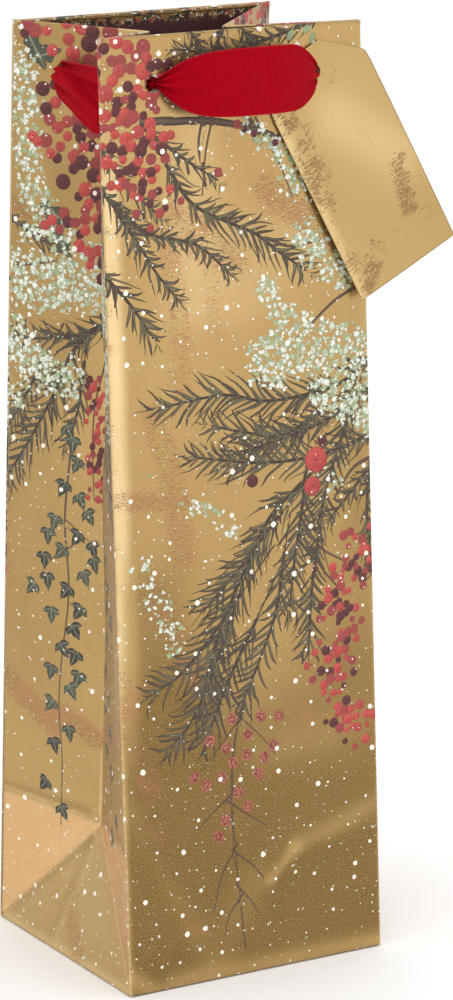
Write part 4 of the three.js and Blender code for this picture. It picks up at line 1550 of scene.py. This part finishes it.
    def foot_triangle(self) -> Piece:
        """Triangle that leans in from the bottom edge to the junction, turned under at the bottom."""
        radius = 0.5
        rows = np.concatenate([np.linspace(radius - math.pi / 2 * radius - 0.5, radius, 6),
                               np.linspace(radius, SHEET.half - 0.5, 88)[1:]])
        u, t = np.meshgrid(np.linspace(0, 1, 150), rows)
        held = np.maximum(t, 0)
        s = -SHEET.depth + held + u * (SHEET.depth - 2 * held)
        up = unit(SHEET.junction - np.array([-SHEET.width / 2, 0, 0]))
        inner = np.cross(np.array([0, -1.0, 0]), up)
        inner = inner * np.sign(inner @ EAST)
        under_up, under_in = bent(radius - t, math.pi / 2, radius)
        height = radius - under_up
        edge = smooth(0, 12, np.minimum(s + SHEET.depth - held, -held - s)) * smooth(0, 8, t)
        outward = edge * waves(s, t, self.seed + 9, 0.22) - under_in
        points = (np.array([-SHEET.width / 2, 0, 0]) + height[..., None] * up - outward[..., None] * inner
                  + np.stack([0 * s, -(s + SHEET.half), 0 * s], axis=2))
        inward = inward_of(points, EAST)
        piece = PaperSkin(np.stack([s, t], axis=2), points, inward).build(f"{self.side}_foot_skin")
        face_out(piece, -EAST)
        return piece


@dataclass
class RibbonStrand:
    """Stretch of gathered ribbon along a path, with its half-width and gather depth at each station.

    stations holds rows of: first place, depth, rise, half-width, gather depth. crease gives a fold that
    drops the part above it: the share of the width where it starts and ends along the path, and its depth.
    slant shifts the cloth above the fold along the path. length is found by build.
    """

    name: str
    stations: tuple
    pleats: float = 3.5
    crease: tuple = ()
    slant: float = 0.0
    thickness: float = 0.35
    width: float = 25.0
    steps: int = 200
    lines: int = 72
    length: float = 0.0

    def build(self, place: Callable[[Array, Array, Array], Array]) -> Piece:
        """Carries the pleated cross-section along the path.

        A point lies at the centre plus the half-width times its share of the width, up; plus the gather
        depth times a cosine of its share, square to the path. place turns (first, depth, rise) to space.
        """
        path = through(self.stations, self.steps)
        tangent = np.gradient(path[:, :2], axis=0)
        tangent /= np.linalg.norm(tangent, axis=1)[:, None]
        share = np.linspace(-1, 1, self.lines)
        first, depth, rise, half, gather = (path[:, n][None, :] for n in range(5))
        b = share[:, None]
        lateral = gather * (np.cos(2 * math.pi * self.pleats * b * 0.5 + 0.6) * 0.62
                            + 0.38 * np.sin(5.1 * b + 1.3))
        curl = -0.05 * half * b**2
        if self.crease:
            start, end, drop = self.crease
            line = start + (end - start) * np.linspace(0, 1, self.steps)[None, :]
            fade = 1 - 0.5 * smooth(0.2, 1.0, b - line)
            curl = curl - drop * smooth(-0.1, 0.1, b - line) * smooth(2.5, 6, half) * fade
        square = np.stack([-tangent[:, 1], tangent[:, 0]], axis=1)
        offset = (lateral + curl)[..., None] * square[None]
        slide = 0.6 * gather * np.sin(2 * math.pi * self.pleats * b * 0.5)
        a = first + offset[..., 0]
        d = depth + offset[..., 1]
        r = rise + half * b + 0.12 * slide
        points = place(a, d, r)
        along = np.concatenate([[0], np.cumsum(np.linalg.norm(np.diff(path[:, :3], axis=0), axis=1))])
        flat = np.stack(np.meshgrid(along, share * self.width / 2), axis=2)
        if self.crease:
            flat[..., 0] += self.slant * flat[..., 1] * smooth(0.1, -0.1, b - line)
        inward = np.cross(np.gradient(points, axis=1), np.gradient(points, axis=0))
        inward /= np.linalg.norm(inward, axis=2, keepdims=True)
        middle = points.mean(axis=(0, 1)) * np.array([1, 1, 0])
        if inward[self.lines // 2, self.steps // 2] @ middle > 0:
            inward = -inward
        piece = PaperSkin(flat, points, inward, thickness=self.thickness, coarse=1).build(self.name)
        face_out(piece, -inward[self.lines // 2, self.steps // 2])
        self.length = float(along[-1])
        return piece


def on_front(s: Array, out: Array, t: Array) -> Array:
    """Point at a distance across, out of and up the front panel."""
    return SHEET.foot + s[..., None] * EAST + out[..., None] * SHEET.out + t[..., None] * SHEET.up


def beside_gusset(y: Array, out: Array, z: Array) -> Array:
    """Point beside the left gusset: along the bag's depth, out to its left and up."""
    return np.stack([-out, y, z], axis=2)


@dataclass
class GiftTag:
    """Clipped card tag that hangs from its hole on the right end of the front handle."""

    width: float = 47.0
    length: float = 95.0
    thickness: float = 0.6
    hole_from_end: float = 9.0
    clip_across: float = 16.0
    clip_along: float = 13.0
    tilt: float = 26.7
    stand: float = 1.15
    lift: float = 2.6

    def build(self) -> Piece:
        """Grid whose half-width shrinks along the clipped corners, with a slight bow along its length."""
        end = self.length - self.clip_along
        rows = np.concatenate([np.linspace(0, end - 1.5, 110), np.linspace(end - 1.5, end + 1.5, 7)[1:],
                               np.linspace(end + 1.5, self.length, 18)[1:]])
        beyond = np.maximum(rows - end, 0)
        soft = np.sqrt((rows - end) ** 2 + 1.2**2) / 2 + (rows - end) / 2
        beyond = np.where(np.abs(rows - end) < 4, soft, beyond)
        half = self.width / 2 - beyond * self.clip_across / self.clip_along
        u, t = np.meshgrid(np.linspace(-1, 1, 76), rows)
        s = u * half[:, None]
        turn = math.radians(self.tilt)
        down = t - (self.length - self.hole_from_end)
        across = SHEET.width - SHEET.hole_inset + s * math.cos(turn) - down * math.sin(turn)
        up = SHEET.length - SHEET.hole_drop + s * math.sin(turn) + down * math.cos(turn)
        share = np.clip(-down / self.length, 0, 1)
        out = self.stand + self.thickness + self.lift * share + 0.5 * np.sin(math.pi * share) - 0.25 * u**2
        points = on_front(across, out, up)
        inward = inward_of(points, -SHEET.out)
        hole = (0.0, self.length - self.hole_from_end)
        piece = PaperSkin(np.stack([s, t], axis=2), points, inward, thickness=self.thickness, holes=(hole,),
                          hole_radius=2.6, coarse=2).build("gift_tag_card")
        face_out(piece, SHEET.out)
        flat = read_sheet(piece)
        ink = PrintedFields(flat[:, 0], flat[:, 1], 5)
        for path, radius, strength in (
                (((-19, 84), (-17, 64), (-19, 42)), 10, 0.9), (((-22, 40), (-21, 20), (-22, 2)), 6, 0.6),
                (((15, 37), (13, 28), (11, 20)), 8, 1.0), (((-18, 4), (-13, 9), (-8, 14)), 7, 0.95),
                (((6, 82), (13, 76)), 7, 0.55), (((20, 24), (18, 12)), 6, 0.4),
                (((2, 20), (8, 12)), 8, 0.35)):
            ink.patch("wear", path, radius, strength)
        s, t = ink.s, ink.t
        # Painted highlight: a broad reflection band from the upper middle down to the right, and a strip along
        # the left edge.
        painted_light_and_shade = 0.4 * near_line(s, t, (0, 66), (17, 40), 14) + 0.5 * near_line(s, t, (-23, 80), (-23, 0), 3.5)
        store(piece, "wear", ink.masks["wear"])
        store(piece, "painted_light_and_shade", painted_light_and_shade)
        return piece


# ---------------------------------------------------------------------------
# Camera, light and floor


def add_camera() -> None:
    """Long-lens camera to the front left of the bag, a little above its middle."""
    azimuth, elevation = math.radians(-30.67), math.radians(13.92)
    back = Vector((math.sin(azimuth) * math.cos(elevation), -math.cos(azimuth) * math.cos(elevation),
                   math.sin(elevation)))
    data = bpy.data.cameras.new("camera")
    data.lens = 146.0
    data.sensor_width = 36.0
    data.clip_start = 0.01
    camera = bpy.data.objects.new("camera", data)
    bpy.context.scene.collection.objects.link(camera)
    camera.location = (-0.758365, -1.308203, 0.549366)
    camera.rotation_euler = back.to_track_quat("Z", "Y").to_euler()
    bpy.context.scene.camera = camera


@dataclass(frozen=True)
class Softbox:
    """Large soft studio light that points at the middle of the bag."""

    name: str
    azimuth: float
    elevation: float
    distance: float
    size: tuple
    power: float

    def add(self) -> None:
        """Adds the light."""
        a, e = math.radians(self.azimuth), math.radians(self.elevation)
        toward = Vector((math.sin(a) * math.cos(e), -math.cos(a) * math.cos(e), math.sin(e)))
        data = bpy.data.lights.new(self.name, "AREA")
        data.shape = "RECTANGLE"
        data.size, data.size_y = self.size
        data.energy = self.power
        lamp = bpy.data.objects.new(self.name, data)
        bpy.context.scene.collection.objects.link(lamp)
        lamp.location = toward * self.distance + Vector((0, 0, AIM_HEIGHT))
        lamp.rotation_euler = toward.to_track_quat("Z", "Y").to_euler()


def add_stage() -> None:
    """Plain pale floor, pale surroundings and the softboxes."""
    bpy.ops.mesh.primitive_plane_add(size=8, location=(0, 0, -0.0005))
    floor = bpy.context.active_object
    floor.name = "floor"
    material, _, shader = new_material("pale_floor")
    shader.inputs["Base Color"].default_value = (0.97, 0.97, 0.97, 1)
    shader.inputs["Roughness"].default_value = 0.9
    floor.data.materials.append(material)
    world = bpy.data.worlds.new("studio")
    world.use_nodes = True
    world.node_tree.nodes["Background"].inputs[0].default_value = (1.0, 1.0, 1.0, 1)
    world.node_tree.nodes["Background"].inputs[1].default_value = 1.04
    bpy.context.scene.world = world
    for light in (
            Softbox("key_right", 26, 4, 1.9, (0.7, 0.9), 1.1),
            Softbox("left_fill", -78, 10, 1.9, (0.6, 1.2), 1.4),
            Softbox("top_soft", -20, 72, 1.9, (1.6, 1.6), 7.0)):
        light.add()
    bpy.context.scene.view_settings.view_transform = "Standard"


# ---------------------------------------------------------------------------
# The whole bag


def mount(piece: Piece, body: str, slot: str, *nodes: str) -> None:
    """Makes a piece ride on a body and hides the nodes that it stands for."""
    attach(piece, body)
    if nodes:
        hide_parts(*nodes)
    log.info("%s rides on %s with %d faces", piece.name, body, len(piece.data.polygons))


class Bag:
    """The bag: panels, gussets, ribbons and tag, built from the front left round to the back right."""

    OTHER = {"left": "right", "right": "left", "front": "rear", "rear": "front"}

    def panels(self) -> None:
        """Front panel and its half-turned copy at the back, with their hems."""
        panel = Panel("front")
        skin, hem = panel.skin(), panel.hem()
        dress_with_print(skin, 21)
        dress(skin, Finish.FOIL, Finish.PAPER_BACK)
        dress(hem, Finish.HEM, Finish.PAPER_BACK)
        back_skin, back_hem = half_turn(skin, "back_panel_skin"), half_turn(hem, "back_hem_turn")
        mount(skin, "front", "printed_foil_paper", "front_panel")
        mount(hem, "front", "printed_foil_paper", "front_hem")
        mount(back_skin, "back", "printed_foil_paper", "back_panel")
        mount(back_hem, "back", "printed_foil_paper", "back_hem")

    def gussets(self) -> None:
        """Left gusset and its half-turned copy at the right."""
        gusset = Gusset()
        for end, word in ((-1, "front"), (1, "rear")):
            skin, hem = gusset.half(end), gusset.hem(end)
            dress_with_print(skin, 33, mirror=end < 0)
            dress(skin, Finish.FOIL, Finish.PAPER_BACK)
            dress(hem, Finish.HEM, Finish.PAPER_BACK)
            other = self.OTHER[word]
            turned = half_turn(skin, f"right_{other}_gusset_skin")
            turned_hem = half_turn(hem, f"right_{other}_hem_turn")
            self.bend(skin, "left", word, end)
            self.bend(turned, "right", other, end)
            mount(hem, f"left_{word}_leaf", "printed_foil_paper", f"left_{word}_hem")
            mount(turned_hem, f"right_{other}_leaf", "printed_foil_paper", f"right_{other}_hem")
        foot = gusset.foot_triangle()
        dress_with_print(foot, 35)
        dress(foot, Finish.FOIL, Finish.PAPER_BACK)
        other_foot = half_turn(foot, "right_foot_skin")
        mount(foot, "left_foot_triangle", "printed_foil_paper", "left_foot_triangle")
        mount(other_foot, "right_foot_triangle", "printed_foil_paper", "right_foot_triangle")

    @staticmethod
    def bend(skin: Piece, side: str, word: str, end: int) -> None:
        """Bakes a gusset skin's place into its mesh and hides the facet and leaf nodes that it stands for, and
        the rear foot too for a rear half.
        """
        top, junction, apex = SHEET.top, SHEET.junction, SHEET.apex
        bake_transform(skin)
        nodes = [f"{side}_{word}_facet", f"{side}_{word}_leaf"]
        if word == "rear":
            nodes.append(f"{side}_rear_foot")
        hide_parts(*nodes)
        log.info("%s bends between its facet and leaf with %d faces", skin.name, len(skin.data.polygons))

    def ribbons(self) -> None:
        """Handles at the front and back and the two strands across the gussets."""
        level = SHEET.length - SHEET.hole_drop
        near, far = SHEET.hole_inset, SHEET.width - SHEET.hole_inset
        handle = RibbonStrand("front_handle_ribbon", (
            (near + 1.2, -2.8, level, 1.5, 0.8), (near + 1.2, -1.2, level, 1.6, 0.9),
            (near + 1.8, 1.4, level, 2.2, 1.3),
            (near + 4.4, 4.6, level - 0.4, 5.2, 1.2), (near + 10, 7.8, level - 0.9, 9.3, 0.85),
            (near + 18, 9.8, level - 1.0, 11.6, 0.45), (near + 28, 10.8, level - 1.0, 12.4, 0.15),
            (near + 38, 11.0, level - 1.0, 12.5, 0.0), (far - 19, 10.6, level - 1.0, 12.5, 0.05),
            (far - 11, 9.2, level - 1.0, 11.9, 0.3), (far - 5.5, 7.4, level - 1.2, 9.2, 0.6),
            (far - 1.4, 5.0, level - 1.4, 6.0, 0.9), (far + 0.9, 2.2, level - 1.0, 3.4, 1.2),
            (far + 0.4, -0.8, level, 1.8, 0.9), (far - 0.1, -2.8, level, 1.5, 0.8)))
        front = handle.build(on_front)
        dress(front, Finish.RIBBON, Finish.RIBBON)
        back = half_turn(front, "back_handle_ribbon")
        mount(front, "front_handle", "ribbon", "front_handle")
        mount(back, "back_handle", "ribbon", "back_handle")
        z = 340.6
        strand = RibbonStrand("left_side_ribbon", (
            (-34.0, 34.2, z + 1.0, 1.7, 1.1), (-28.0, 36.2, z + 0.5, 1.8, 1.2),
            (-21.5, 38.4, z - 0.5, 2.4, 1.3),
            (-18.5, 42.0, z - 5.4, 8.8, 1.3), (-13.0, 45.8, z - 7.0, 12.1, 0.7),
            (-6.0, 47.6, z - 5.6, 11.0, 0.9),
            (0.0, 48.4, z - 4.0, 9.4, 1.1), (6.0, 48.6, z - 2.8, 8.0, 1.3), (12.0, 48.4, z - 1.8, 6.8, 1.4),
            (16.8, 47.0, z - 1.1, 5.6, 1.5), (20.2, 44.0, z - 0.6, 4.0, 1.5), (21.8, 40.2, z + 0.3, 2.5, 1.4),
            (28.0, 36.2, z + 0.5, 1.8, 1.2), (34.0, 34.2, z + 1.0, 1.7, 1.1)), crease=(-0.75, 1.15, 3.6),
            slant=-0.55)
        left = strand.build(beside_gusset)
        dress(left, Finish.RIBBON, Finish.RIBBON)
        right = half_turn(left, "right_side_ribbon")
        for piece, side in ((left, "left"), (right, "right")):
            mount(piece, "bottom", "ribbon", f"{side}_ribbon")
            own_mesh(piece)

    def tag(self) -> None:
        """Card tag on the right end of the front handle."""
        card = GiftTag().build()
        dress(card, Finish.TAG, Finish.TAG)
        mount(card, "gift_tag", "tag_card", "gift_tag")

    def hidden_card(self) -> None:
        """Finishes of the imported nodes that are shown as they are."""
        plain = {"bottom_front_flap": Finish.BARE_FOIL, "bottom_back_flap": Finish.BARE_FOIL,
                 "bottom_left_tuck": Finish.PAPER_BACK, "bottom_right_tuck": Finish.PAPER_BACK,
                 "base_board": Finish.CARD, "front_stiffener": Finish.CARD, "back_stiffener": Finish.CARD,
                 "seam_tab": Finish.PAPER_BACK}
        for name, finish in plain.items():
            dress(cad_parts[name], finish)
            log.info("%s keeps its packed mesh", name)


def main() -> None:
    """Sets the camera and the stage and builds the bag."""
    logging.basicConfig(level=logging.INFO, format="%(name)s: %(message)s")
    add_camera()
    add_stage()
    bag = Bag()
    bag.panels()
    bag.gussets()
    bag.ribbons()
    bag.tag()
    bag.hidden_card()


if __name__ == "__main__":
    main()
